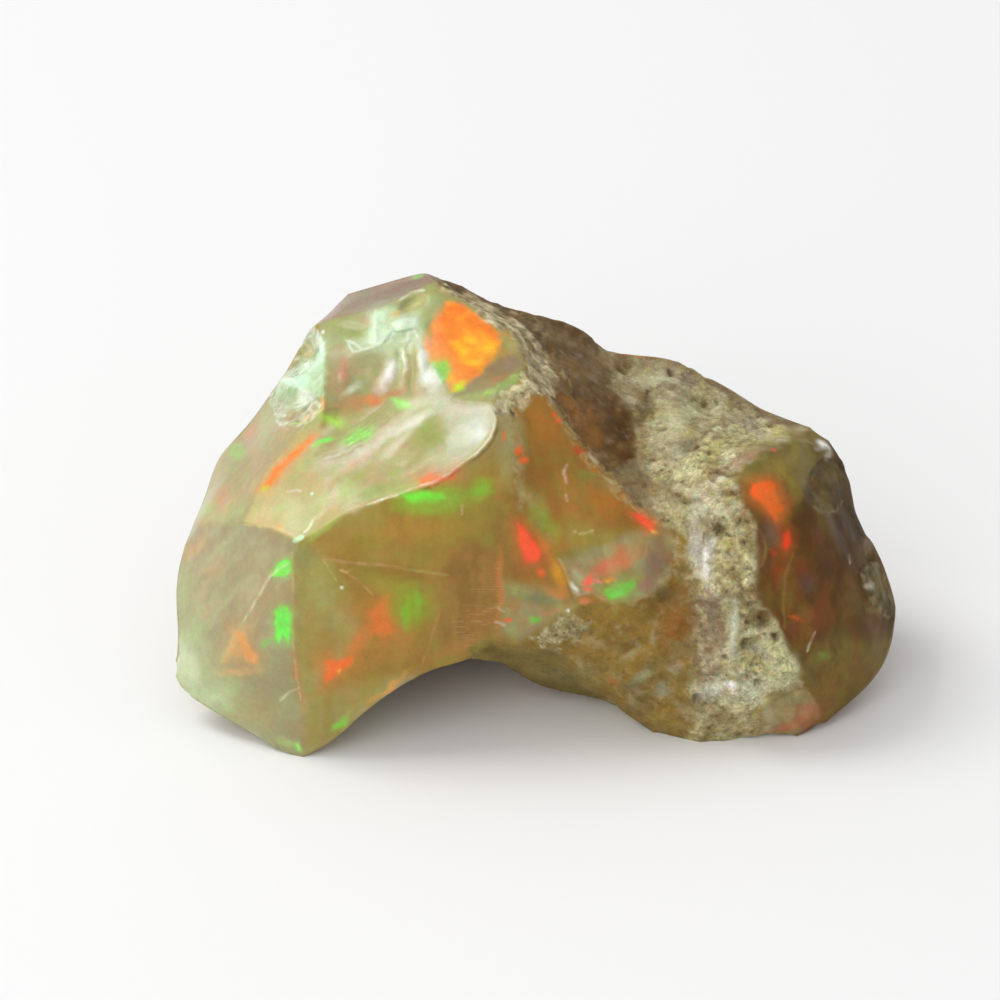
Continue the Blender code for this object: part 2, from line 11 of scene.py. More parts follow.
import bpy
import numpy as np
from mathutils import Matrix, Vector


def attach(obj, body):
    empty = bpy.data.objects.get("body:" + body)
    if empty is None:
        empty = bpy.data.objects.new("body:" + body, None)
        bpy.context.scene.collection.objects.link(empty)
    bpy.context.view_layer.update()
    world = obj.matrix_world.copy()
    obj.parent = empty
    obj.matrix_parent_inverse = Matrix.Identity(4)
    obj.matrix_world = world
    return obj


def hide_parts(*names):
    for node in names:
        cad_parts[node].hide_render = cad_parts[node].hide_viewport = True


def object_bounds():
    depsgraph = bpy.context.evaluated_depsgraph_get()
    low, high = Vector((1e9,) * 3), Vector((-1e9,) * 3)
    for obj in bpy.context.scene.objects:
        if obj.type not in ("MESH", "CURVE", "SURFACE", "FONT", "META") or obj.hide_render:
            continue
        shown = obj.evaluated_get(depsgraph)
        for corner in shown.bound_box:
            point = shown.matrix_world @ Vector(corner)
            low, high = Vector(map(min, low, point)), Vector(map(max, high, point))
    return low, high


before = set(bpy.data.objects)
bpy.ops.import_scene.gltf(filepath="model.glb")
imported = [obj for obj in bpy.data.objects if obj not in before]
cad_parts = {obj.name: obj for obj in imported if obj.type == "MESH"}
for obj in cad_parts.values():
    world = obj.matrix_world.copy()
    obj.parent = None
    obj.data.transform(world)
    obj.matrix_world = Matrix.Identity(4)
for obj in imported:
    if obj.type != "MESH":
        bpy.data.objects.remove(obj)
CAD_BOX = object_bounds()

# The photograph's view, as the stone was laid out for it
MM = 0.001
PIXEL = 34.0 / 723.0
VIEW_CENTRE = 500.0
VIEW_DISTANCE = 350.0
VIEW_ELEVATION = math.radians(30)
STONE_SHIFT = np.array((-1.6455, -1.5115, 9.4))
IMAGE_SIZE = 1000
SENSOR = 36.0

# Directions of the photograph's view, in the row frame
RIGHT = np.array((1.0, 0.0, 0.0))
UP = np.array((0.0, math.sin(VIEW_ELEVATION), math.cos(VIEW_ELEVATION)))
TOWARD = np.array((0.0, -math.cos(VIEW_ELEVATION), math.sin(VIEW_ELEVATION)))

# Longest edges of the finished mesh, in millimetres
FRONT_EDGE = 0.31
FLASH_EDGE = 0.2
ROCK_EDGE = 0.185
LINE_EDGE = 0.12
HIDDEN_EDGE = 0.41
HIDDEN_ROCK_EDGE = 0.31
BASE_EDGE = 0.9

# Clouds of crumbs that are shorter than this in the photograph's pixels get the finest edges
FINE_MOTTLE = 9

# The left block's lowest corner, which is worn round, and how far the wear reaches
BLUNT_CORNER = (-16.94, -5.7, 1.85)
BLUNT_REACH = 1.0

# Creases sharper than this stay crisp, on glass and on rough ground
SHARP_ANGLE = math.radians(24)
ROUGH_SHARP_ANGLE = math.radians(60)

# How far a face may turn from the view and still count as seen, as the cosine
UNSEEN = -0.14
SEEN = 0.06

# What a place on the stone is made of
GLASS = 0.0
WORN = 0.35
SATIN = 0.5
SKIN = 0.6
CRUST = 0.8
ROCK = 1.0

# Body colours, as they show on a display
HONEY = (160, 132, 56)
BROWN_HONEY = (150, 118, 50)
OLIVE_HONEY = (158, 146, 76)
PALE_HONEY = (170, 160, 106)
RUSSET = (142, 106, 50)
AMBER = (162, 116, 50)
DARK_AMBER = (148, 102, 42)
OLIVE = (150, 136, 56)
# Milky pales of the thin left edges, partly the opal's own milk and partly painted glow of light
# shining through
MILK_AND_GLOW = (197, 204, 168)
SAGE_MILK_AND_GLOW = (166, 173, 130)
SMOKE = (172, 165, 127)
DARK_SMOKE = (157, 145, 107)
DARK_FAWN = (164, 144, 102)
SAND = (184, 162, 112)
STRAW = (196, 190, 136)
DULL_STRAW = (186, 176, 120)
# The silver of the scoop's right end, a painted reflection of the light
SILVER_REFLECTION = (202, 211, 188)
SAGE = (158, 160, 108)
LEAF = (160, 163, 98)
PLUM = (166, 146, 118)
DARK_PLUM = (148, 128, 112)
ROSE = (206, 158, 128)
ROCK_PALE = (202, 196, 152)
RIM = (232, 218, 174)
RIB = (204, 200, 174)
GREY_RIB = (176, 172, 144)
ROCK_MID = (176, 168, 122)
ROCK_DARK = (140, 126, 88)
BARK = (115, 90, 54)
DARK_BARK = (98, 76, 43)
HOLLOW = (90, 52, 6)
UMBER = (145, 117, 46)
DARK_UMBER = (120, 92, 36)
STONE_GREY = (152, 140, 104)
# The underside's brown, darkened by painted shade
SHADED_UNDERSIDE = (132, 114, 58)
DARK_SHADED_UNDERSIDE = (112, 96, 48)
COFFEE = (98, 66, 20)
DARK_COFFEE = (84, 54, 16)
MOSS_BROWN = (126, 112, 54)
RUST = (132, 76, 28)
PEBBLE = (84, 70, 34)
GRIT = (132, 116, 78)
# Dark of the cracks, and painted shade in the pits
CRACK_AND_PIT_SHADE = (84, 66, 36)

# Colours of the play of light
GREEN = (120, 240, 90)
LIME = (166, 214, 86)
DEEP_GREEN = (138, 170, 52)
ORANGE = (252, 152, 56)
GOLD = (255, 196, 46)
RED = (252, 92, 56)
RED_ORANGE = (246, 112, 52)
EMBER = (244, 128, 46)
DULL_ORANGE = (208, 124, 54)
# White, used mostly for painted highlights and glints
WHITE = (240, 246, 232)

# Parts of the front, each as an outline
FLANK = ((182, 540), (243, 524), (262, 526), (297, 541), (291, 600), (262, 640), (222, 664),
         (196, 600))
LEFT_RIM = ((150, 528), (182, 534), (196, 590), (210, 640), (240, 690), (262, 735), (240, 740),
            (150, 705))
OUTER_FACE = ((323, 408), (303, 430), (285, 450), (262, 480), (244, 522), (200, 525),
              (150, 530), (190, 465), (232, 418), (268, 398))
PALE_FACE = ((323, 408), (303, 430), (285, 450), (262, 480), (244, 522), (262, 526), (280, 532),
             (299, 542), (322, 528), (345, 513), (400, 495), (420, 480), (360, 466), (320, 440))
TOP_FACE = ((318, 322), (328, 300), (345, 284), (380, 270), (415, 262), (434, 266), (438, 280),
            (402, 297), (380, 308), (340, 317))
CHIPS = ((268, 400), (276, 372), (296, 342), (314, 326), (326, 340), (326, 408), (300, 428),
         (280, 424))
SCOOP = ((313, 446), (330, 420), (370, 409), (396, 401), (418, 396), (444, 400), (470, 402),
         (492, 403), (497, 420), (490, 440), (478, 453), (460, 466), (440, 477), (420, 487),
         (400, 495), (380, 500), (345, 513), (330, 500), (318, 470))
CORNER_FACE = ((296, 545), (345, 513), (400, 498), (478, 458), (505, 420), (512, 500),
               (505, 640), (440, 674), (370, 710), (303, 775), (292, 640))
MIDDLE_FACE = ((509, 406), (530, 392), (548, 398), (590, 455), (640, 508), (668, 524),
               (676, 560), (640, 600), (574, 604), (520, 634), (505, 600), (514, 500))
BODY = ((530, 640), (560, 612), (640, 600), (676, 552), (692, 560), (700, 660), (716, 756),
        (640, 750), (600, 700), (560, 650))
ROCK_FIELD = ((606, 345), (700, 360), (812, 428), (745, 465), (738, 485), (757, 525), (757, 600),
              (800, 665), (803, 690), (757, 752), (700, 754), (690, 590), (654, 505), (640, 440))
WINDOW = ((432, 322), (441, 314), (446, 302), (458, 303), (474, 312), (488, 322), (497, 331),
          (501, 343), (496, 355), (489, 364), (482, 372), (470, 384), (460, 390), (452, 393),
          (447, 386), (444, 372), (428, 362), (423, 352), (425, 336))
SKIN_FIELD = ((436, 262), (470, 266), (520, 286), (560, 300), (600, 334), (630, 350), (640, 400),
              (655, 450), (665, 500), (668, 524), (640, 508), (610, 480), (590, 455), (566, 424),
              (550, 396), (536, 380), (530, 350), (508, 326), (480, 308), (446, 288))
RIGHT_FACE = ((802, 432), (830, 428), (870, 460), (890, 540), (920, 590), (920, 650), (880, 710),
              (822, 728), (802, 742), (772, 758), (757, 740), (763, 715), (772, 694), (803, 690),
              (800, 665), (787, 645), (778, 622), (758, 600), (757, 525), (746, 505), (738, 485),
              (745, 465), (760, 452), (780, 446))

# The front's body colours, painted in order over honey: what it is made of, two colours that
# mix in clouds, the size of the clouds in millimetres, how soft the edge is in pixels, outline
WASHES = (
    (SATIN, UMBER, DARK_UMBER, 1.4, 8, ((500, 560), (1000, 400), (1000, 820), (560, 820))),
    # The left block: its corner face, the flank left of it, and the worn edges, whose milky pale is
    # partly painted glow of light shining through the thin stone
    (GLASS, HONEY, BROWN_HONEY, 3.0, 5, CORNER_FACE),
    (GLASS, OLIVE_HONEY, PALE_HONEY, 1.8, 26,
     ((293, 545), (322, 553), (345, 600), (362, 640), (330, 680), (318, 720), (296, 790),
      (290, 690), (288, 600))),
    (GLASS, RUSSET, BROWN_HONEY, 2.0, 26,
     ((440, 566), (470, 520), (514, 480), (518, 560), (508, 650), (480, 668), (436, 680),
      (420, 660), (440, 610))),
    (GLASS, (168, 158, 118), OLIVE_HONEY, 1.6, 20,
     ((290, 694), (330, 690), (374, 680), (420, 676), (365, 726), (330, 758), (290, 790))),
    (GLASS, SMOKE, DARK_SMOKE, 1.6, 5,
     ((150, 522), (200, 525), (243, 523), (262, 526), (280, 532), (299, 542), (290, 562),
      (291, 600), (292, 650), (297, 700), (304, 790), (150, 735))),
    (GLASS, (158, 148, 110), (160, 160, 116), 1.4, 24,
     ((230, 680), (292, 640), (299, 700), (304, 790), (240, 745), (216, 712))),
    # Milky pale at the thin left edges: partly the opal's own milk, partly painted glow of light
    # shining through
    (GLASS, SAGE_MILK_AND_GLOW, (168, 168, 126), 1.8, 34, LEFT_RIM),
    (GLASS, MILK_AND_GLOW, SAGE_MILK_AND_GLOW, 1.4, 26, ((140, 630), (186, 636), (212, 676), (232, 704), (140, 710))),
    (GLASS, (176, 160, 112), (168, 160, 118), 1.4, 4, OUTER_FACE),
    (GLASS, STRAW, DULL_STRAW, 1.8, 4, PALE_FACE),
    # The shoulder and the top
    (GLASS, (158, 154, 108), (200, 216, 184), 0.6, 4, CHIPS),
    (GLASS, LEAF, SAGE, 1.2, 3,
     ((318, 322), (340, 316), (380, 308), (402, 297), (437, 280), (434, 300), (424, 325),
      (422, 348), (400, 350), (372, 349), (350, 354), (338, 342), (326, 345), (322, 338))),
    (GLASS, SAGE, SAND, 0.9, 5,
     ((324, 345), (338, 342), (350, 354), (376, 348), (404, 350), (422, 348), (430, 372),
      (420, 400), (396, 406), (370, 412), (330, 422), (323, 405))),
    (GLASS, PLUM, DARK_PLUM, 1.6, 3, TOP_FACE),
    # The scoop
    (GLASS, (188, 182, 130), (178, 162, 112), 1.8, 6, SCOOP),
    # The flat window
    (GLASS, OLIVE_HONEY, SAGE, 0.8, 4,
     ((438, 284), (430, 303), (424, 325), (422, 345), (427, 363), (440, 380), (450, 400),
      (490, 402), (516, 385), (526, 362), (518, 342), (500, 326), (480, 311), (452, 292))),
    (GLASS, ORANGE, EMBER, 0.5, 4, WINDOW),
    # The middle face and its hanging lobe
    (GLASS, AMBER, DARK_AMBER, 2.2, 5, MIDDLE_FACE),
    (GLASS, OLIVE, OLIVE_HONEY, 1.6, 20,
     ((514, 480), (540, 490), (556, 512), (600, 530), (640, 530), (600, 556), (575, 572),
      (552, 556), (530, 520))),
    (GLASS, (172, 166, 116), (156, 144, 106), 1.4, 9,
     ((563, 560), (590, 553), (630, 532), (668, 526), (676, 548), (669, 578), (656, 592),
      (635, 600), (614, 602), (592, 593), (575, 597))),
    (GLASS, STONE_GREY, LEAF, 1.2, 14,
     ((503, 580), (530, 586), (564, 590), (578, 606), (552, 620), (520, 640), (500, 634))),
    # The rough brown body under the lobe, and the slope under the arch, which faces down: its brown
    # is darkened by painted shade
    (SKIN, (124, 108, 68), UMBER, 0.7, 18,
     ((606, 690), (640, 672), (690, 640), (716, 700), (730, 770), (630, 760))),
    (SKIN, SHADED_UNDERSIDE, DARK_SHADED_UNDERSIDE, 1.2, 4,
     ((466, 648), (484, 640), (508, 642), (536, 647), (572, 655), (596, 668), (608, 684),
      (612, 712), (540, 712), (500, 690))),
    # The brown skin over the top, and the hollow
    (SKIN, BARK, DARK_BARK, 1.6, 5, SKIN_FIELD),
    (SKIN, STONE_GREY, BARK, 0.9, 20,
     ((606, 440), (650, 456), (668, 500), (668, 520), (640, 508), (616, 484))),
    (SKIN, HOLLOW, (90, 64, 24), 1.0, 22,
     ((594, 402), (622, 396), (648, 412), (652, 440), (640, 470), (614, 470), (596, 440))),
    # A brighter rust-brown patch by the hollow, partly painted sheen of the light
    (SKIN, RUST, BARK, 0.9, 14,
     ((562, 392), (578, 394), (604, 410), (610, 440), (594, 446), (572, 420))),
    # The host rock: round the window, over the top right, and down the front
    (CRUST, RIM, GRIT, 0.32, 6,
     ((437, 279), (452, 286), (470, 294), (487, 302), (508, 313), (526, 326), (540, 341),
      (549, 356), (555, 374), (557, 392), (552, 400), (543, 396), (534, 396), (524, 405),
      (512, 424), (500, 414), (492, 404), (504, 394), (520, 384), (526, 364), (518, 344),
      (500, 328), (480, 312), (452, 294), (438, 290))),
    (ROCK, ROCK_MID, ROCK_PALE, 1.0, 9,
     ((606, 345), (650, 345), (700, 360), (760, 395), (812, 428), (800, 438), (780, 446),
      (760, 452), (745, 465), (738, 485), (746, 505), (757, 525), (757, 600), (778, 622),
      (787, 645), (800, 665), (803, 690), (772, 694), (762, 715), (757, 750), (714, 752),
      (690, 734), (704, 712), (688, 690), (703, 664), (692, 640), (704, 616), (688, 600),
      (696, 580), (682, 556), (686, 538), (668, 524), (654, 505), (650, 470), (640, 440),
      (632, 400), (612, 380))),
    (CRUST, GREY_RIB, ROCK_MID, 1.6, 14,
     ((630, 350), (664, 352), (680, 384), (712, 400), (712, 430), (690, 452), (660, 470),
      (650, 440), (654, 400), (632, 384))),
    (CRUST, ROCK_DARK, STONE_GREY, 0.9, 12,
     ((600, 336), (640, 348), (652, 400), (646, 440), (632, 410), (612, 380))),
    (CRUST, ROCK_DARK, STONE_GREY, 0.7, 9,
     ((604, 336), (650, 336), (700, 350), (760, 386), (815, 425), (800, 434), (760, 420),
      (716, 398), (690, 380), (650, 362), (622, 362))),
    (CRUST, STONE_GREY, ROCK_DARK, 0.6, 10,
     ((640, 470), (664, 478), (684, 490), (676, 506), (660, 498), (646, 486))),
    (CRUST, (154, 134, 106), (126, 106, 76), 0.5, 12,
     ((688, 590), (704, 584), (722, 600), (726, 650), (716, 680), (700, 690), (690, 660))),
    (CRUST, RIB, GREY_RIB, 0.5, 9,
     ((692, 486), (706, 492), (712, 520), (714, 560), (708, 582), (697, 580), (690, 548),
      (686, 510))),
    (CRUST, GREY_RIB, ROCK_MID, 0.5, 8,
     ((725, 600), (735, 596), (743, 622), (747, 656), (742, 674), (731, 668), (726, 632))),
    (ROCK, RIB, ROCK_MID, 0.4, 8,
     ((700, 676), (724, 668), (752, 674), (762, 690), (748, 706), (722, 704), (702, 700))),
    (ROCK, ROCK_PALE, GRIT, 0.4, 5,
     ((534, 640), (544, 627), (560, 617), (578, 616), (588, 622), (584, 632), (570, 642),
      (550, 647))),
    # The brown right end and the facet at its foot
    (WORN, COFFEE, DARK_COFFEE, 2.4, 4, RIGHT_FACE),
    # Darker towards the far right: partly its own brown, partly painted shade where the end turns
    # away from the light
    (SATIN, DARK_COFFEE, COFFEE, 2.0, 30,
     ((826, 430), (870, 450), (900, 540), (930, 600), (900, 660), (866, 600), (836, 520),
      (812, 450))),
    (WORN, MOSS_BROWN, OLIVE, 1.6, 26,
     ((736, 476), (756, 446), (800, 428), (832, 428), (818, 470), (806, 500), (780, 520),
      (750, 500))),
    (WORN, RUST, COFFEE, 1.6, 22,
     ((758, 530), (780, 545), (810, 560), (830, 600), (826, 640), (800, 652), (782, 622),
      (760, 600))),
    (WORN, (126, 110, 44), COFFEE, 1.6, 26,
     ((800, 644), (830, 634), (880, 640), (920, 640), (880, 706), (815, 730), (798, 680))),
    (WORN, (170, 156, 110), GRIT, 0.7, 5,
     ((763, 704), (783, 691), (808, 690), (818, 704), (820, 716), (804, 732), (774, 752),
      (757, 742))),
    # The two rough round scars on the right edge
    (SKIN, (120, 106, 70), PEBBLE, 0.35, 3,
     ((809, 492), (811, 472), (822, 460), (836, 464), (845, 484), (843, 504), (832, 513),
      (818, 512), (811, 502))),
    (SKIN, (138, 126, 90), PEBBLE, 0.35, 3,
     ((861, 574), (868, 562), (878, 562), (890, 584), (896, 606), (890, 618), (878, 612),
      (867, 596))),
)

# Flat flashes and facets: colour, strength, softness in pixels, outline
FACETS = (
    # Beside and below the window: the dark lower band, and green
    ((150, 120, 84), 0.8, 5,
     ((449, 400), (466, 388), (484, 372), (498, 358), (514, 353), (520, 364), (508, 380),
      (489, 389), (468, 397))),
    ((146, 126, 106), 0.7, 5, ((502, 362), (512, 355), (521, 360), (516, 371), (505, 372))),
    ((120, 216, 78), 0.85, 4,
     ((430, 362), (446, 361), (451, 371), (447, 380), (440, 381), (434, 372))),
    ((156, 196, 96), 0.45, 4,
     ((458, 398), (478, 391), (500, 383), (522, 373), (520, 381), (500, 391), (478, 399))),
    # Flashes on the left block
    (GREEN, 1.0, 2.0, ((272, 576), (277, 566), (284, 560), (291, 559), (291, 571), (285, 577))),
    (GREEN, 1.0, 2.2,
     ((275, 612), (280, 606), (288, 606), (291, 614), (291, 632), (288, 643), (282, 634),
      (279, 644), (275, 636))),
    ((168, 142, 104), 0.6, 8, ((291, 578), (291, 604), (262, 614), (246, 630), (262, 600))),
    ((224, 168, 100), 0.5, 6,
     ((220, 662), (229, 646), (236, 631), (242, 634), (236, 646), (228, 663))),
    ((234, 158, 86), 0.78, 5,
     ((236, 632), (244, 634), (251, 647), (259, 658), (256, 665), (246, 662), (241, 648))),
    ((250, 138, 56), 0.95, 3.5,
     ((317, 434), (304, 441), (293, 451), (283, 462), (272, 475), (263, 484), (259, 490),
      (268, 488), (279, 476), (291, 462), (304, 449))),
    ((246, 118, 54), 0.95, 5,
     ((324, 663), (331, 658), (340, 660), (352, 655), (353, 662), (344, 671), (335, 676),
      (325, 682))),
    ((226, 122, 56), 0.85, 9,
     ((368, 613), (377, 603), (388, 597), (391, 614), (395, 632), (384, 640), (370, 632))),
    # The scoop: its silver right end, a painted reflection of the light, the lip's red and the
    # green under it
    (SILVER_REFLECTION, 0.56, 10,
     ((424, 350), (431, 364), (440, 378), (448, 392), (456, 402), (472, 402), (488, 405),
      (494, 412), (493, 425), (487, 438), (474, 448), (458, 458), (444, 460), (446, 440),
      (444, 420), (434, 406), (424, 392), (418, 372))),
    ((246, 112, 78), 0.9, 5,
     ((418, 479), (430, 474), (446, 477), (458, 469), (454, 478), (434, 486), (418, 488))),
    ((118, 250, 76), 0.95, 6,
     ((404, 496), (420, 492), (443, 494), (446, 498), (436, 503), (412, 503))),
    # The bright facets on the top, pale mint, partly their own colour and partly painted reflection
    # of the light
    ((200, 218, 178), 0.75, 9,
     ((368, 312), (392, 306), (420, 312), (420, 340), (412, 350), (388, 352), (372, 350),
      (350, 356), (346, 342), (366, 336))),
    ((214, 238, 204), 0.9, 4,
     ((375, 311), (384, 312), (382, 324), (386, 338), (380, 346), (371, 343), (369, 326))),
    ((222, 242, 216), 0.95, 3,
     ((392, 323), (404, 318), (415, 319), (417, 327), (408, 330), (396, 331), (388, 339),
      (385, 333))),
    ((202, 216, 176), 0.8, 3, ((392, 334), (404, 331), (417, 334), (412, 341), (398, 342))),
    ((196, 190, 128), 0.85, 4,
     ((404, 310), (411, 298), (424, 293), (427, 298), (420, 306), (411, 313))),
    # The chips on the left shoulder, their whitish mint partly painted highlight
    ((208, 244, 212), 0.9, 4,
     ((281, 378), (296, 379), (308, 372), (318, 356), (322, 340), (325, 352), (320, 372),
      (308, 388), (300, 388), (286, 384))),
    ((176, 208, 150), 0.75, 5, ((314, 366), (326, 362), (326, 396), (316, 392), (308, 388))),
    ((166, 186, 138), 0.7, 6, ((278, 392), (290, 386), (296, 392), (290, 404), (280, 404))),
    # The middle face
    (RED, 1.0, 4.5,
     ((518, 523), (525, 528), (532, 538), (542, 552), (539, 560), (526, 561), (520, 545))),
    (RED, 1.0, 3, ((631, 512), (640, 513), (654, 522), (656, 530), (648, 530), (640, 523))),
    ((122, 206, 78), 0.85, 4.5,
     ((605, 589), (616, 584), (634, 582), (636, 588), (626, 597), (612, 599), (604, 595))),
    # The right end
    ((252, 100, 34), 1.0, 4.5,
     ((750, 492), (754, 483), (766, 481), (774, 484), (775, 494), (783, 506), (784, 512),
      (776, 513), (777, 522), (772, 517), (766, 506), (754, 499))),
    ((236, 72, 34), 1.0, 3.5, ((784, 534), (790, 531), (792, 542), (787, 549), (783, 544))),
    ((186, 96, 60), 0.6, 8,
     ((798, 708), (812, 702), (822, 706), (820, 718), (804, 728), (794, 722))),
)

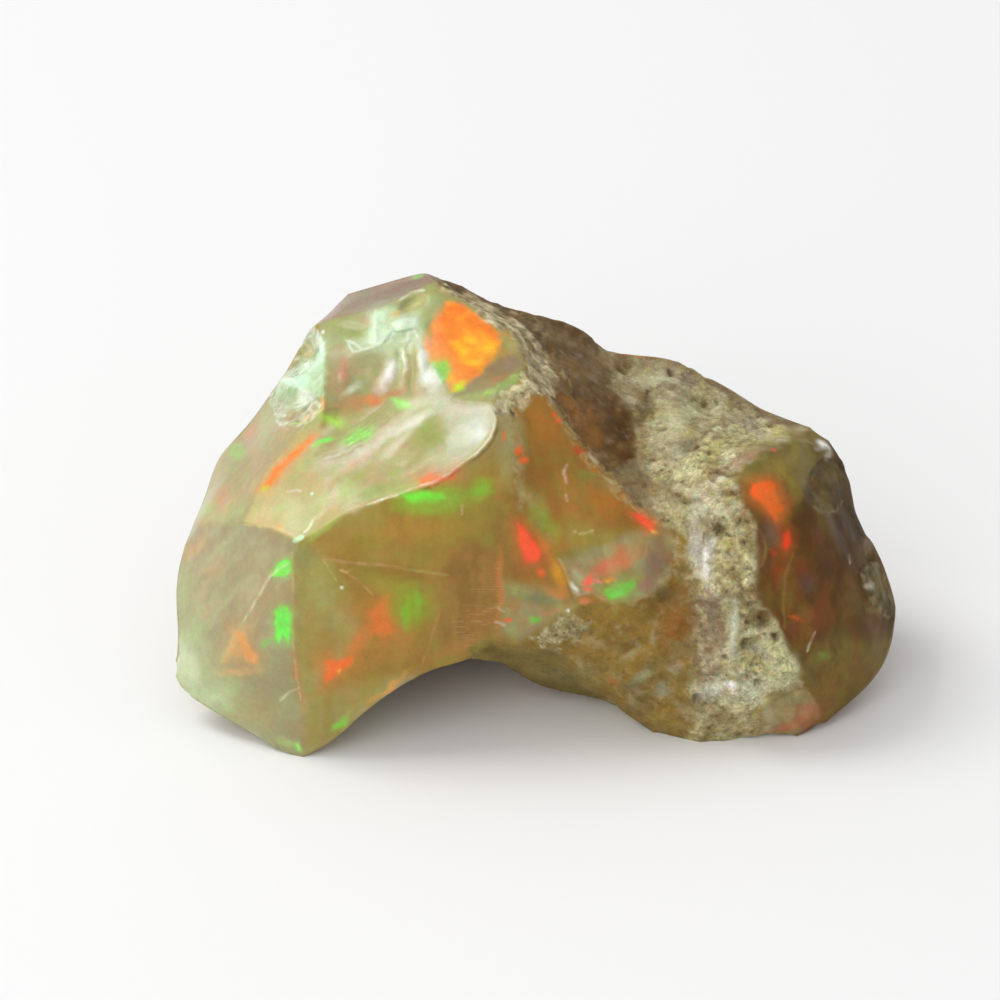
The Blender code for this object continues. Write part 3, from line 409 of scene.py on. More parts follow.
# Soft dabs: colour, strength, across, down, half length, half width, turn in degrees
DABS = (
    # The window
    ((226, 160, 92), 0.6, 438, 318, 6, 12, 30),
    ((188, 230, 58), 0.95, 460, 387, 9, 4.5, -25),
    ((244, 190, 60), 0.6, 453, 380, 5, 8, -20),
    ((172, 160, 100), 0.7, 512, 345, 8, 10, 0),
    ((214, 112, 74), 0.6, 499, 379, 11, 2.2, -22),
    ((172, 208, 108), 0.7, 489, 391, 7, 2.5, -25),
    ((164, 202, 114), 0.6, 514, 378, 7, 3, -25),
    ((250, 168, 66), 0.7, 450, 304, 5, 4, 0),
    ((176, 160, 116), 0.6, 444, 292, 9, 5, 25),
    # The scoop: its pale streaks and the white at its right end are partly milky haze and partly
    # painted reflection of the light
    ((150, 166, 84), 0.9, 428, 432, 18, 20, 10),
    ((226, 222, 192), 0.7, 396, 446, 22, 5, -42),
    ((228, 220, 200), 0.8, 372, 446, 36, 5, -38),
    ((222, 182, 156), 0.6, 358, 462, 22, 4, -38),
    ((222, 214, 192), 0.65, 338, 455, 26, 8, -32),
    ((176, 150, 96), 0.6, 384, 476, 38, 9, -18),
    ((164, 190, 100), 0.6, 346, 490, 12, 9, -20),
    ((156, 190, 92), 0.6, 398, 471, 8, 5, -20),
    ((126, 244, 98), 0.95, 324, 442, 11, 3, -18),
    ((160, 246, 118), 0.95, 358, 436, 18, 7, -28),
    ((170, 240, 130), 0.9, 402, 404, 14, 4.5, 28),
    ((180, 226, 96), 1.0, 333, 420, 16, 7, 26),
    ((212, 140, 84), 0.85, 362, 401, 30, 7, -8),
    ((228, 132, 84), 0.6, 374, 402, 9, 4, 0),
    ((172, 150, 84), 0.6, 348, 414, 18, 7, 0),
    ((236, 232, 214), 0.8, 412, 424, 5, 26, 62),
    ((150, 170, 84), 0.75, 376, 490, 26, 7, -16),
    ((150, 178, 84), 0.5, 356, 478, 16, 5, -30),
    ((214, 218, 206), 0.7, 474, 426, 12, 18, 30),
    ((240, 244, 236), 0.55, 480, 434, 6, 9, 30),
    ((228, 214, 200), 0.5, 468, 408, 18, 4, 0),
    ((164, 158, 92), 0.5, 418, 462, 16, 8, -30),
    # Under the lip
    ((150, 176, 62), 0.75, 428, 506, 36, 9, -4),
    ((132, 196, 58), 0.75, 480, 490, 14, 10, -30),
    ((142, 176, 66), 0.6, 456, 498, 16, 10, 0),
    ((170, 196, 96), 0.7, 322, 532, 24, 4, -38),
    # The flutes under the top; the white dabs on their lobes are painted highlights
    ((164, 128, 94), 0.6, 339, 374, 10, 26, 0),
    ((202, 140, 118), 0.7, 344, 371, 6, 13, 0),
    ((166, 142, 94), 0.6, 328, 380, 3, 30, 0),
    ((170, 156, 112), 0.7, 361, 364, 12, 11, 0),
    ((168, 140, 98), 0.6, 350, 400, 16, 8, 0),
    ((204, 214, 170), 0.7, 393, 355, 11, 13, 0),
    ((178, 192, 128), 0.7, 399, 372, 4, 18, 0),
    ((242, 240, 234), 0.95, 389, 374, 8, 14, 14),
    ((222, 196, 178), 0.8, 380, 386, 6, 9, 20),
    ((240, 246, 228), 0.85, 403.5, 361, 2.4, 13, 0),
    ((168, 168, 104), 0.7, 411, 376, 4.5, 20, 0),
    ((236, 240, 226), 0.85, 421, 358, 5, 16, -8),
    ((240, 244, 236), 0.9, 430, 378, 9, 12, -36),
    ((206, 138, 100), 0.6, 396, 392, 12, 4, -20),
    ((204, 214, 186), 0.7, 352, 388, 14, 3.5, -30),
    # The top and the shoulder
    ((198, 146, 118), 0.6, 365, 321, 8, 7, 0),
    ((158, 166, 96), 0.6, 354, 330, 16, 8, -10),
    ((226, 170, 84), 0.7, 396, 313, 9, 2.5, -30),
    ((160, 176, 118), 0.6, 434, 304, 7, 14, 10),
    ((132, 150, 90), 0.6, 430, 330, 5, 16, 0),
    ((150, 235, 120), 0.85, 418, 275, 7, 3, -20),
    ((150, 112, 100), 0.5, 390, 292, 34, 5, -20),
    ((180, 164, 150), 0.5, 348, 298, 20, 6, -35),
    ((200, 182, 112), 0.8, 305, 352, 8, 5, -40),
    # White in a shoulder chip, a painted highlight
    ((236, 244, 224), 0.7, 300, 396, 8, 7, 0),
    ((132, 170, 96), 0.7, 287, 390, 7, 4, -20),
    ((176, 156, 110), 0.6, 292, 414, 18, 5, 10),
    # The outer left face
    ((206, 140, 104), 0.7, 250, 434, 10, 8, -40),
    ((150, 204, 100), 0.7, 236, 452, 9, 9, 0),
    ((208, 150, 116), 0.6, 222, 500, 12, 16, 0),
    ((176, 150, 112), 0.6, 262, 466, 18, 12, -45),
    ((188, 202, 142), 0.6, 196, 500, 14, 22, 30),
    ((246, 160, 84), 0.9, 323, 402, 2.5, 7, 0),
    ((176, 220, 104), 0.8, 298, 424, 10, 2, -10),
    ((186, 210, 60), 0.8, 264, 489, 5, 3, -45),
    ((236, 190, 110), 0.7, 279, 528, 6, 4, 20),
    ((206, 180, 120), 0.5, 275, 528, 24, 4, 14),
    # The flank and the lower left
    ((206, 164, 116), 0.5, 196, 548, 16, 10, -40),
    ((226, 172, 108), 0.5, 236, 672, 22, 4, -4),
    ((220, 166, 104), 0.5, 238, 652, 8, 9, 0),
    ((136, 134, 94), 0.55, 305, 556, 13, 12, 0),
    ((194, 122, 82), 0.75, 297, 670, 4, 16, -12),
    ((190, 134, 90), 0.5, 301, 698, 5, 14, -12),
    ((118, 206, 84), 0.6, 268, 642, 8, 4, -30),
    ((150, 240, 112), 0.9, 297, 747, 4, 6, -10),
    ((176, 204, 120), 0.6, 286, 742, 9, 4, 30),
    ((178, 160, 104), 0.5, 255, 712, 26, 16, 20),
    # The corner face
    ((130, 216, 70), 0.85, 341, 723, 13, 3.5, -42),
    ((222, 160, 72), 0.8, 388, 690, 30, 3, -38),
    ((220, 128, 60), 0.75, 358, 642, 22, 8, -50),
    ((236, 210, 70), 0.9, 339, 669, 1.8, 5, 0),
    ((142, 170, 46), 0.85, 412, 606, 22, 22, 0),
    ((150, 156, 56), 0.6, 400, 584, 30, 10, 8),
    ((122, 196, 58), 0.5, 406, 616, 5, 16, 0),
    ((132, 190, 58), 0.5, 417, 602, 4, 18, 0),
    ((148, 112, 46), 0.7, 396, 573, 44, 8, 8),
    ((184, 138, 62), 0.6, 420, 528, 46, 14, 0),
    ((166, 112, 58), 0.5, 478, 622, 22, 20, 0),
    ((188, 130, 72), 0.5, 455, 648, 30, 7, -22),
    ((168, 162, 116), 0.6, 505, 450, 9, 34, 0),
    ((168, 164, 96), 0.5, 316, 590, 16, 40, 0),
    ((172, 126, 62), 0.5, 372, 664, 32, 12, -35),
    ((210, 120, 66), 0.5, 499, 592, 4, 46, 0),
    # The middle face
    ((176, 118, 44), 0.6, 542, 424, 16, 20, 0),
    (RED, 0.9, 554.5, 413, 2.5, 4.5, -20),
    (RED, 0.9, 558, 422, 3.5, 3.5, 0),
    (RED_ORANGE, 0.85, 504, 437, 3.5, 5, 0),
    (RED_ORANGE, 0.95, 518, 452, 5, 5, 0),
    (RED_ORANGE, 1.0, 524.5, 461, 5, 4, 10),
    ((196, 70, 40), 0.7, 579, 450, 4, 3.5, 0),
    ((126, 136, 56), 0.7, 588, 474, 9, 6, 0),
    ((190, 104, 42), 0.6, 596, 472, 5, 3, 0),
    ((176, 112, 40), 0.6, 606, 500, 24, 12, 25),
    ((132, 122, 66), 0.6, 600, 484, 18, 6, 30),
    ((148, 160, 60), 0.7, 546, 524, 10, 24, -38),
    ((248, 104, 48), 0.9, 541, 573, 5, 5, 0),
    ((214, 150, 44), 0.85, 560, 574, 7, 18, -18),
    ((212, 124, 46), 0.7, 556, 592, 12, 6, 10),
    ((222, 130, 60), 0.6, 545, 546, 6, 16, -30),
    ((112, 126, 92), 0.7, 540, 598, 22, 7, 6),
    ((190, 126, 96), 0.5, 520, 606, 12, 4, 0),
    ((206, 128, 108), 0.5, 552, 612, 14, 3, -10),
    ((112, 200, 66), 0.9, 534, 619, 6, 3.5, -8),
    ((246, 104, 56), 0.95, 508.5, 621, 4, 3, 0),
    # The lobe
    ((250, 104, 84), 0.95, 588, 579, 6, 5, -20),
    ((250, 100, 84), 0.9, 587, 588, 4, 3, 0),
    ((250, 120, 130), 0.8, 597, 581, 4, 2.5, 20),
    ((250, 170, 56), 0.9, 607, 580, 6, 2.5, -8),
    ((232, 124, 84), 0.6, 612, 562, 26, 8, -32),
    ((232, 134, 84), 0.55, 622, 565, 22, 7, -32),
    ((214, 100, 84), 0.5, 602, 566, 14, 5, -30),
    # Pinkish purple at the lobe's lower right, a painted reflection
    ((134, 108, 96), 0.75, 656, 560, 11, 24, 8),
    ((166, 106, 104), 0.6, 644, 586, 9, 6, -30),
    ((140, 136, 92), 0.7, 590, 552, 18, 7, 0),
    ((186, 180, 138), 0.7, 577, 574, 6, 9, -30),
    # White at the lobe's lower left corner, a painted highlight
    ((232, 226, 216), 0.95, 575, 589, 3, 8, -28),
    ((224, 140, 90), 0.7, 586, 602, 7, 4, 0),
    ((124, 220, 90), 0.8, 617, 593, 7, 3.5, -15),
    ((236, 184, 92), 0.9, 656, 531, 4, 1.5, 20),
    # The brown skin and the hollow
    # A pale pinkish band along the skin's top, partly painted highlight
    ((150, 130, 112), 0.6, 560, 312, 40, 6, 24),
    ((84, 66, 42), 0.7, 448, 283, 16, 4, 28),
    ((142, 120, 88), 0.5, 600, 356, 22, 12, 30),
    # Part of the brighter rust-brown patch by the hollow, partly painted sheen of the light
    ((140, 92, 34), 0.6, 590, 428, 12, 20, -35),
    ((80, 50, 22), 0.7, 625, 437, 9, 7, 0),
    ((176, 156, 130), 0.6, 626, 436, 1.6, 1.6, 0),
    ((130, 118, 80), 0.6, 634, 474, 16, 10, 30),
    ((98, 84, 50), 0.8, 645, 410, 7, 22, 14),
    (CRACK_AND_PIT_SHADE, 0.8, 574, 395, 7, 1.8, 48),
    # The rock's smooth hollow, its stains and its ribs, with painted shade in its pits and a
    # painted highlight down a rib
    ((196, 192, 152), 0.8, 671, 424, 15, 22, 20),
    ((198, 194, 150), 0.7, 690, 408, 12, 8, 0),
    ((202, 198, 156), 0.7, 686, 473, 15, 8, -20),
    ((114, 94, 66), 0.75, 722, 391, 20, 3.5, 30),
    ((116, 98, 66), 0.65, 673, 388, 14, 3, 15),
    ((112, 92, 58), 0.75, 706, 432, 14, 2.5, -36),
    ((186, 182, 140), 0.7, 646, 378, 14, 10, 20),
    ((190, 182, 116), 0.6, 712, 452, 22, 10, -30),
    ((206, 196, 120), 0.6, 776, 432, 12, 6, -10),
    ((150, 138, 124), 0.6, 688, 384, 10, 6, 20),
    # Dark in the pits here: painted shade
    ((124, 102, 64), 0.7, 692, 447, 13, 6, -15),
    ((122, 100, 62), 0.6, 706, 403, 10, 5, 30),
    ((152, 136, 120), 0.6, 746, 424, 26, 7, 25),
    ((124, 96, 56), 0.7, 724, 466, 26, 3.5, -28),
    ((168, 134, 112), 0.6, 744, 458, 24, 6, -28),
    # Dark in the pits here: painted shade
    ((110, 82, 40), 0.8, 686, 499, 9, 2.5, -12),
    ((112, 84, 42), 0.8, 697, 500, 6, 3, 20),
    ((110, 84, 44), 0.8, 735, 494, 8, 3, 20),
    ((134, 104, 60), 0.7, 746, 520, 4, 26, -14),
    ((178, 174, 160), 0.8, 696, 545, 9, 22, 0),
    # White down the raised rib, a painted highlight
    ((232, 232, 222), 0.9, 706, 564, 4, 22, 0),
    ((228, 228, 218), 0.8, 711, 546, 4, 9, 0),
    ((206, 210, 188), 0.72, 734, 628, 4, 28, 4),
    ((190, 176, 84), 0.6, 728, 544, 7, 6, 0),
    # Dark in the pits here: painted shade
    ((104, 76, 32), 0.95, 761, 616, 12, 7, 20),
    ((104, 86, 50), 0.7, 752, 642, 10, 5, -30),
    ((130, 104, 62), 0.7, 724, 594, 5, 7, -20),
    ((196, 200, 150), 0.7, 782, 662, 16, 22, -30),
    ((150, 150, 138), 0.6, 762, 652, 12, 6, 30),
    ((216, 216, 194), 0.8, 708, 692, 16, 8, -25),
    ((250, 252, 246), 1.0, 728, 686, 6, 3, 8),
    ((210, 212, 184), 0.7, 752, 690, 20, 14, -30),
    ((140, 126, 84), 0.65, 722, 716, 18, 9, 0),
    ((128, 108, 66), 0.6, 728, 730, 26, 5, 0),
    # The rough body and the slope
    ((160, 128, 52), 0.7, 610, 614, 26, 10, -4),
    # Painted shadow where the surface steps in below the lobe
    ((98, 72, 30), 0.75, 666, 594, 14, 8, -14),
    ((152, 96, 40), 0.7, 676, 620, 14, 20, 0),
    ((186, 162, 116), 0.6, 594, 642, 12, 5, 20),
    ((178, 166, 122), 0.6, 632, 654, 14, 4, -24),
    ((150, 152, 112), 0.75, 640, 676, 14, 5, -28),
    ((150, 154, 128), 0.6, 662, 690, 9, 8, -60),
    ((196, 82, 66), 0.7, 614, 683, 5, 2.5, 40),
    ((176, 160, 120), 0.6, 690, 712, 14, 8, 0),
    ((176, 156, 126), 0.6, 674, 666, 9, 5, 0),
    # Painted shade where the underside begins below the left block's edge
    ((104, 84, 40), 0.6, 498, 652, 16, 8, 12),
    ((134, 122, 78), 0.5, 560, 676, 34, 6, 12),
    # The right end
    ((140, 122, 60), 0.6, 790, 462, 26, 12, -10),
    ((206, 108, 40), 0.8, 772, 500, 14, 22, -30),
    ((108, 84, 66), 0.8, 770, 533, 11, 16, -10),
    ((186, 62, 40), 0.8, 774, 554, 4, 4, 0),
    ((160, 66, 30), 0.6, 776, 572, 8, 12, 0),
    ((140, 62, 34), 0.45, 802, 570, 10, 10, 0),
    ((124, 50, 34), 0.6, 818, 536, 7, 9, 0),
    ((120, 56, 40), 0.6, 794, 628, 9, 7, 0),
    ((200, 88, 32), 0.9, 797, 618, 9, 2, 14),
    ((140, 76, 30), 0.4, 822, 616, 20, 14, 0),
    ((108, 82, 74), 0.5, 808, 584, 12, 12, 0),
    ((136, 106, 44), 0.4, 786, 590, 8, 30, 0),
    ((120, 150, 56), 0.7, 823, 656, 6, 4, 0),
    ((140, 92, 36), 0.5, 830, 684, 14, 18, 0),
    ((236, 104, 44), 0.8, 772, 449, 4, 1.5, 20),
    ((240, 238, 230), 1.0, 821, 447, 6, 4, 30),
    ((196, 186, 170), 0.8, 826, 455, 5, 5, 0),
    ((160, 136, 112), 0.85, 865, 545, 8, 8, 20),
    ((142, 122, 96), 0.7, 856, 538, 5, 5, 0),
    ((206, 200, 176), 0.8, 870, 587, 5, 3.5, 30),
    ((62, 42, 16), 0.8, 850, 520, 14, 40, -22),
    ((74, 52, 22), 0.6, 806, 500, 5, 22, 0),
    ((126, 112, 70), 0.4, 828, 478, 8, 6, 0),
    ((122, 108, 66), 0.7, 828, 508, 14, 3, 10),
    ((128, 112, 72), 0.7, 872, 610, 12, 3, 50),
    ((128, 138, 84), 0.6, 794, 698, 14, 5, 0),
    ((196, 110, 82), 0.5, 784, 728, 16, 5, -15),
)

# Fine lines: colour, strength, width in pixels, points
STROKES = (
    # The scoop's lip: bright inside, a painted highlight along its ridge, and dark outside
    ((236, 222, 200), 1.0, 2.0,
     ((494, 409), (496, 422), (491, 438), (478, 452), (463, 463), (449, 474), (432, 483),
      (415, 488), (398, 495), (383, 500), (366, 505))),
    ((112, 92, 52), 0.8, 2.4,
     ((498, 412), (499, 426), (493, 442), (480, 456), (464, 467), (449, 478), (432, 487),
      (416, 492))),
    # The flutes and facets under the top; the white lines along their ridges, and along the
    # shoulder's chips, are painted highlights
    (WHITE, 0.9, 2.4, ((348, 341), (353, 353), (364, 350), (377, 346), (384, 340))),
    (WHITE, 0.8, 2.2, ((346, 341), (356, 344), (362, 349))),
    ((112, 132, 96), 0.7, 1.8, ((389, 324), (393, 330), (388, 339), (384, 343))),
    ((112, 132, 96), 0.7, 1.8, ((393, 331), (404, 331), (412, 330))),
    (WHITE, 0.9, 2.6, ((405, 345), (409, 333), (416, 332), (417, 338))),
    (WHITE, 0.8, 2.0, ((400, 300), (412, 292), (424, 290))),
    (WHITE, 0.9, 2.4, ((321, 338), (323, 352), (318, 362), (309, 372))),
    ((240, 248, 236), 0.9, 2.2, ((318, 330), (320, 345), (321, 356))),
    (WHITE, 0.9, 2.2, ((281, 381), (292, 380), (304, 390), (311, 400))),
    ((240, 236, 220), 0.7, 2.0, ((276, 420), (282, 426), (289, 430))),
    # The left block's edges and cracks
    ((250, 210, 130), 0.7, 2.2, ((322, 400), (324, 409), (312, 415), (298, 424))),
    ((200, 255, 204), 1.0, 3.6, ((294, 541), (300, 539), (304, 537))),
    ((246, 250, 214), 0.9, 2.4, ((304, 534), (309, 528), (314, 520))),
    ((220, 216, 150), 0.7, 3.0, ((320, 520), (322, 512))),
    # A pale line along an edge of the left block, a painted highlight
    ((226, 206, 150), 0.6, 2.0, ((243, 524), (272, 527), (294, 536))),
    ((228, 216, 180), 0.75, 2.0, ((289, 562), (270, 576), (258, 598), (244, 621))),
    ((206, 178, 124), 0.5, 2.0, ((244, 621), (232, 640), (220, 664))),
    ((216, 196, 136), 0.65, 2.0, ((293, 552), (292, 602), (293, 645), (300, 700))),
    ((226, 222, 186), 0.7, 2.0, ((279, 701), (290, 692), (300, 688))),
    ((206, 156, 118), 0.7, 2.4, ((323, 559), (354, 563), (378, 565), (402, 568))),
    ((176, 170, 96), 0.6, 2.2, ((402, 569), (426, 572), (448, 575))),
    ((206, 176, 120), 0.6, 2.0, ((323, 560), (330, 570), (338, 582))),
    ((206, 170, 112), 0.6, 2.0, ((346, 571), (358, 580), (374, 596))),
    ((226, 190, 120), 0.7, 2.4, ((340, 570), (347, 572), (353, 569))),
    ((206, 150, 80), 0.7, 2.0, ((440, 612), (430, 642), (421, 668))),
    ((226, 206, 176), 0.6, 2.0, ((493, 606), (498, 608), (505, 612))),
    ((226, 216, 196), 0.8, 2.2, ((495, 621), (500, 623), (506, 626))),
    ((232, 224, 206), 0.8, 2.0, ((286, 492), (296, 490), (301, 492))),
    ((190, 184, 140), 0.7, 2.0, ((328, 484), (327, 492))),
    ((212, 190, 140), 0.6, 2.0, ((462, 505), (462, 516))),
    # The middle face
    ((216, 204, 170), 0.7, 2.4, ((588, 452), (592, 458), (597, 464))),
    ((206, 196, 160), 0.7, 2.6, ((602, 475), (607, 480), (612, 484))),
    ((226, 196, 166), 0.9, 2.2, ((568, 464), (564, 472), (566, 478), (567, 484))),
    ((232, 206, 176), 0.9, 2.6, ((566, 493), (566, 498), (568, 501))),
    ((226, 206, 166), 0.85, 2.4, ((574, 531), (577, 532))),
    ((222, 196, 146), 0.8, 2.0, ((579, 534), (586, 533), (594, 530))),
    ((206, 150, 110), 0.7, 2.0, ((648, 540), (646, 549), (645, 560))),
    ((112, 104, 66), 0.8, 2.0, ((555, 556), (561, 568), (566, 582), (571, 596), (575, 603))),
    ((206, 190, 150), 0.7, 2.0, ((559, 558), (565, 570), (570, 584), (576, 597))),
    ((206, 166, 130), 0.7, 2.2, ((576, 597), (590, 592), (602, 599), (614, 603))),
    # The rock and the right end
    (CRACK_AND_PIT_SHADE, 1.0, 3.0, ((713, 536), (720, 533), (731, 536))),
    ((90, 80, 50), 0.8, 2.0, ((704, 532), (703, 540), (705, 546))),
    ((176, 148, 100), 0.4, 2.2, ((757, 526), (764, 536), (766, 552), (762, 566))),
    ((150, 118, 62), 0.7, 2.2, ((794, 552), (786, 572), (783, 600), (785, 630))),
    ((212, 196, 166), 0.8, 2.0, ((816, 631), (811, 642), (807, 652))),
    ((206, 186, 166), 0.8, 2.0, ((849, 555), (850, 564))),
    ((156, 140, 98), 0.7, 2.2, ((812, 505), (822, 513), (836, 511), (844, 500))),
    ((50, 36, 14), 0.8, 2.4,
     ((809, 500), (808, 484), (813, 468), (823, 458), (836, 461), (844, 472))),
    ((50, 36, 14), 0.8, 2.4, ((868, 600), (860, 584), (860, 570), (868, 560), (878, 560))),
    ((156, 140, 98), 0.6, 2.2, ((868, 602), (878, 613), (889, 618))),
)

# Small specks: colour, across, down, radius in pixels. The white specks on the glass are painted
# glints, and the dark specks on the rock are painted shade in its pits.
SPECKS = (
    (WHITE, 342, 588, 2.2), (WHITE, 311, 494, 2.0), (WHITE, 568, 611, 2.2), (WHITE, 323, 332, 2.2),
    (WHITE, 728, 686, 3.4), (WHITE, 733, 688, 2.6), (WHITE, 383, 500, 2.0), (WHITE, 415, 332, 2.2),
    (CRACK_AND_PIT_SHADE, 670, 372, 4.0), (CRACK_AND_PIT_SHADE, 704, 401, 5.0), (CRACK_AND_PIT_SHADE, 695, 446, 4.0), (CRACK_AND_PIT_SHADE, 662, 468, 2.6),
    (CRACK_AND_PIT_SHADE, 706, 452, 3.4), (CRACK_AND_PIT_SHADE, 772, 427, 3.0), (CRACK_AND_PIT_SHADE, 746, 540, 3.0), (CRACK_AND_PIT_SHADE, 774, 636, 4.0),
    (CRACK_AND_PIT_SHADE, 556, 634, 2.2), (CRACK_AND_PIT_SHADE, 723, 517, 2.4), (CRACK_AND_PIT_SHADE, 647, 392, 3.4),
)

# Clouds and streaks inside an outline: colour, strength, share that they cover, their length and
# width in pixels, turn in degrees, how soft the outline is in pixels, outline
MOTTLES = (
    # The glassy left block
    ((150, 136, 98), 0.45, 0.42, 80, 9, -48, 26, FLANK),
    ((184, 188, 142), 0.4, 0.42, 80, 10, -48, 26, FLANK),
    ((196, 152, 108), 0.4, 0.3, 40, 12, -40, 26, FLANK),
    ((176, 198, 130), 0.4, 0.4, 30, 18, -60, 24, LEFT_RIM),
    ((204, 156, 122), 0.45, 0.36, 26, 14, -55, 12, OUTER_FACE),
    ((168, 196, 122), 0.5, 0.36, 34, 12, -60, 12, OUTER_FACE),
    ((172, 190, 112), 0.5, 0.42, 40, 18, -45, 12, PALE_FACE),
    ((212, 178, 132), 0.45, 0.4, 34, 16, -30, 12, PALE_FACE),
    ((178, 142, 124), 0.5, 0.4, 40, 8, -20, 5, TOP_FACE),
    ((150, 158, 116), 0.4, 0.35, 26, 8, -20, 5, TOP_FACE),
    ((110, 134, 84), 0.7, 0.32, 8, 4, -50, 4, CHIPS),
    # Whitish bits on the chips, painted highlights
    ((240, 250, 232), 0.8, 0.34, 10, 4, -40, 4, CHIPS),
    ((204, 170, 110), 0.5, 0.28, 9, 6, 0, 4, CHIPS),
    # Pale streaks in the scoop, partly milky haze and partly painted reflection of the light
    ((226, 222, 196), 0.45, 0.42, 80, 12, -38, 14, SCOOP),
    ((204, 160, 122), 0.38, 0.36, 60, 13, -38, 14, SCOOP),
    ((162, 184, 104), 0.45, 0.36, 54, 14, -38, 14, SCOOP),
    ((144, 112, 44), 0.35, 0.42, 110, 16, 88, 24, CORNER_FACE),
    ((178, 146, 76), 0.35, 0.4, 90, 12, 88, 24, CORNER_FACE),
    ((146, 154, 60), 0.4, 0.38, 50, 26, 50, 24, CORNER_FACE),
    ((180, 126, 66), 0.35, 0.34, 36, 22, -30, 24, CORNER_FACE),
    # The middle face
    ((168, 122, 54), 0.45, 0.42, 60, 16, 75, 12, MIDDLE_FACE),
    ((124, 92, 40), 0.4, 0.4, 60, 14, 75, 12, MIDDLE_FACE),
    ((138, 134, 60), 0.4, 0.36, 34, 18, 50, 12, MIDDLE_FACE),
    ((184, 110, 52), 0.4, 0.32, 26, 14, 40, 12, MIDDLE_FACE),
    # The window
    ((255, 184, 44), 0.95, 0.76, 22, 12, 30, 8,
     ((450, 344), (462, 332), (480, 330), (494, 342), (493, 361), (480, 370), (462, 362))),
    ((255, 206, 60), 0.8, 0.45, 12, 7, 20, 6,
     ((456, 344), (472, 336), (490, 344), (492, 358), (476, 368), (462, 362))),
    ((232, 100, 40), 0.4, 0.36, 16, 9, 60, 6, WINDOW),
    ((204, 150, 60), 0.7, 0.5, 16, 9, 50, 6,
     ((488, 324), (510, 334), (518, 350), (506, 360), (494, 350))),
    # The crumbly seams round the middle face and its lobe
    ((166, 162, 112), 0.5, 0.7, 18, 12, 80, 14,
     ((498, 404), (516, 402), (524, 440), (526, 480), (522, 500), (512, 490), (506, 450))),
    ((184, 176, 130), 0.45, 0.42, 7, 4, 70, 6,
     ((506, 408), (514, 404), (519, 430), (524, 470), (527, 500), (519, 512), (513, 480),
      (509, 440))),
    ((176, 166, 120), 0.45, 0.4, 6, 4, 50, 5,
     ((520, 488), (530, 492), (545, 516), (558, 540), (553, 546), (536, 524))),
    ((186, 168, 118), 0.6, 0.46, 6, 3, 45, 3,
     ((544, 396), (552, 395), (569, 416), (593, 450), (609, 474), (632, 494), (654, 512),
      (671, 520), (668, 528), (648, 520), (622, 501), (598, 480), (580, 454), (560, 426))),
    ((190, 172, 128), 0.6, 0.5, 6, 4, 20, 3,
     ((608, 604), (636, 603), (654, 597), (668, 586), (675, 572), (679, 555), (676, 532),
      (670, 540), (671, 556), (664, 576), (648, 592), (630, 598))),
    # The brown skin and the hollow
    ((144, 110, 60), 0.55, 0.42, 16, 12, 0, 10, SKIN_FIELD),
    ((80, 60, 36), 0.6, 0.34, 9, 8, 0, 8, SKIN_FIELD),
    ((160, 140, 112), 0.5, 0.28, 9, 7, 0, 8, SKIN_FIELD),
    # The brighter rust-brown patch by the hollow, partly painted sheen of the light
    ((156, 104, 40), 0.7, 0.6, 20, 12, 60, 14,
     ((556, 392), (574, 394), (598, 420), (606, 446), (594, 450), (574, 424))),
    ((172, 158, 116), 0.7, 0.42, 9, 6, 50, 8,
     ((636, 392), (654, 396), (664, 450), (680, 505), (660, 510), (642, 482), (634, 450))),
    # The rough body, and the rock
    ((112, 86, 34), 0.6, 0.42, 24, 12, -10, 12, BODY),
    ((168, 132, 58), 0.5, 0.42, 30, 14, -10, 14, BODY),
    ((156, 92, 40), 0.6, 0.4, 22, 14, 60, 12,
     ((654, 600), (680, 580), (696, 610), (694, 650), (676, 664), (660, 640))),
    ((150, 138, 88), 0.4, 0.34, 11, 8, 20, 12, BODY),
    ((184, 172, 132), 0.6, 0.16, 9, 7, 40, 12, BODY),
    ((100, 76, 34), 0.5, 0.24, 10, 7, 0, 12, BODY),
    ((142, 116, 72), 0.7, 0.42, 30, 16, 20, 10, ROCK_FIELD),
    ((212, 206, 172), 0.62, 0.35, 18, 11, 10, 10, ROCK_FIELD),
    ((186, 176, 104), 0.4, 0.3, 14, 9, 0, 10, ROCK_FIELD),
    ((112, 90, 54), 0.65, 0.26, 12, 6, -20, 10, ROCK_FIELD),
    ((132, 108, 70), 0.6, 0.36, 9, 6, 20, 10,
     ((716, 516), (750, 510), (760, 600), (745, 640), (716, 600), (712, 540))),
    ((214, 210, 180), 0.6, 0.5, 12, 7, 30, 10,
     ((690, 486), (726, 474), (742, 486), (744, 512), (712, 520), (694, 510))),
    ((150, 142, 116), 0.6, 0.42, 9, 6, 70, 8,
     ((700, 590), (726, 600), (722, 676), (700, 690))),
    ((190, 174, 126), 0.5, 0.3, 8, 5, 50, 8,
     ((496, 300), (526, 312), (550, 334), (568, 362), (573, 388), (562, 396), (554, 374),
      (540, 342), (518, 322))),
    ((124, 94, 76), 0.6, 0.44, 8, 6, 40, 6,
     ((690, 590), (704, 586), (722, 602), (724, 650), (714, 680), (700, 688), (691, 660))),
    ((134, 112, 88), 0.75, 0.6, 16, 9, 28, 8,
     ((636, 350), (664, 356), (700, 372), (740, 396), (800, 424), (790, 436), (744, 414),
      (706, 392), (676, 380), (650, 372))),
    # The right face
    ((132, 80, 30), 0.45, 0.34, 30, 14, 80, 16, RIGHT_FACE),
    ((118, 100, 40), 0.5, 0.46, 34, 16, 70, 16, RIGHT_FACE),
    ((74, 48, 22), 0.5, 0.34, 26, 12, 80, 16, RIGHT_FACE),
)

# Fine comb of pale scratches across the right of the corner face
COMB_AREA = ((450, 596), (500, 560), (508, 600), (504, 632), (470, 650), (452, 630))
COMB_COLOUR = (212, 168, 124)
COMB_SPACING = 2.7

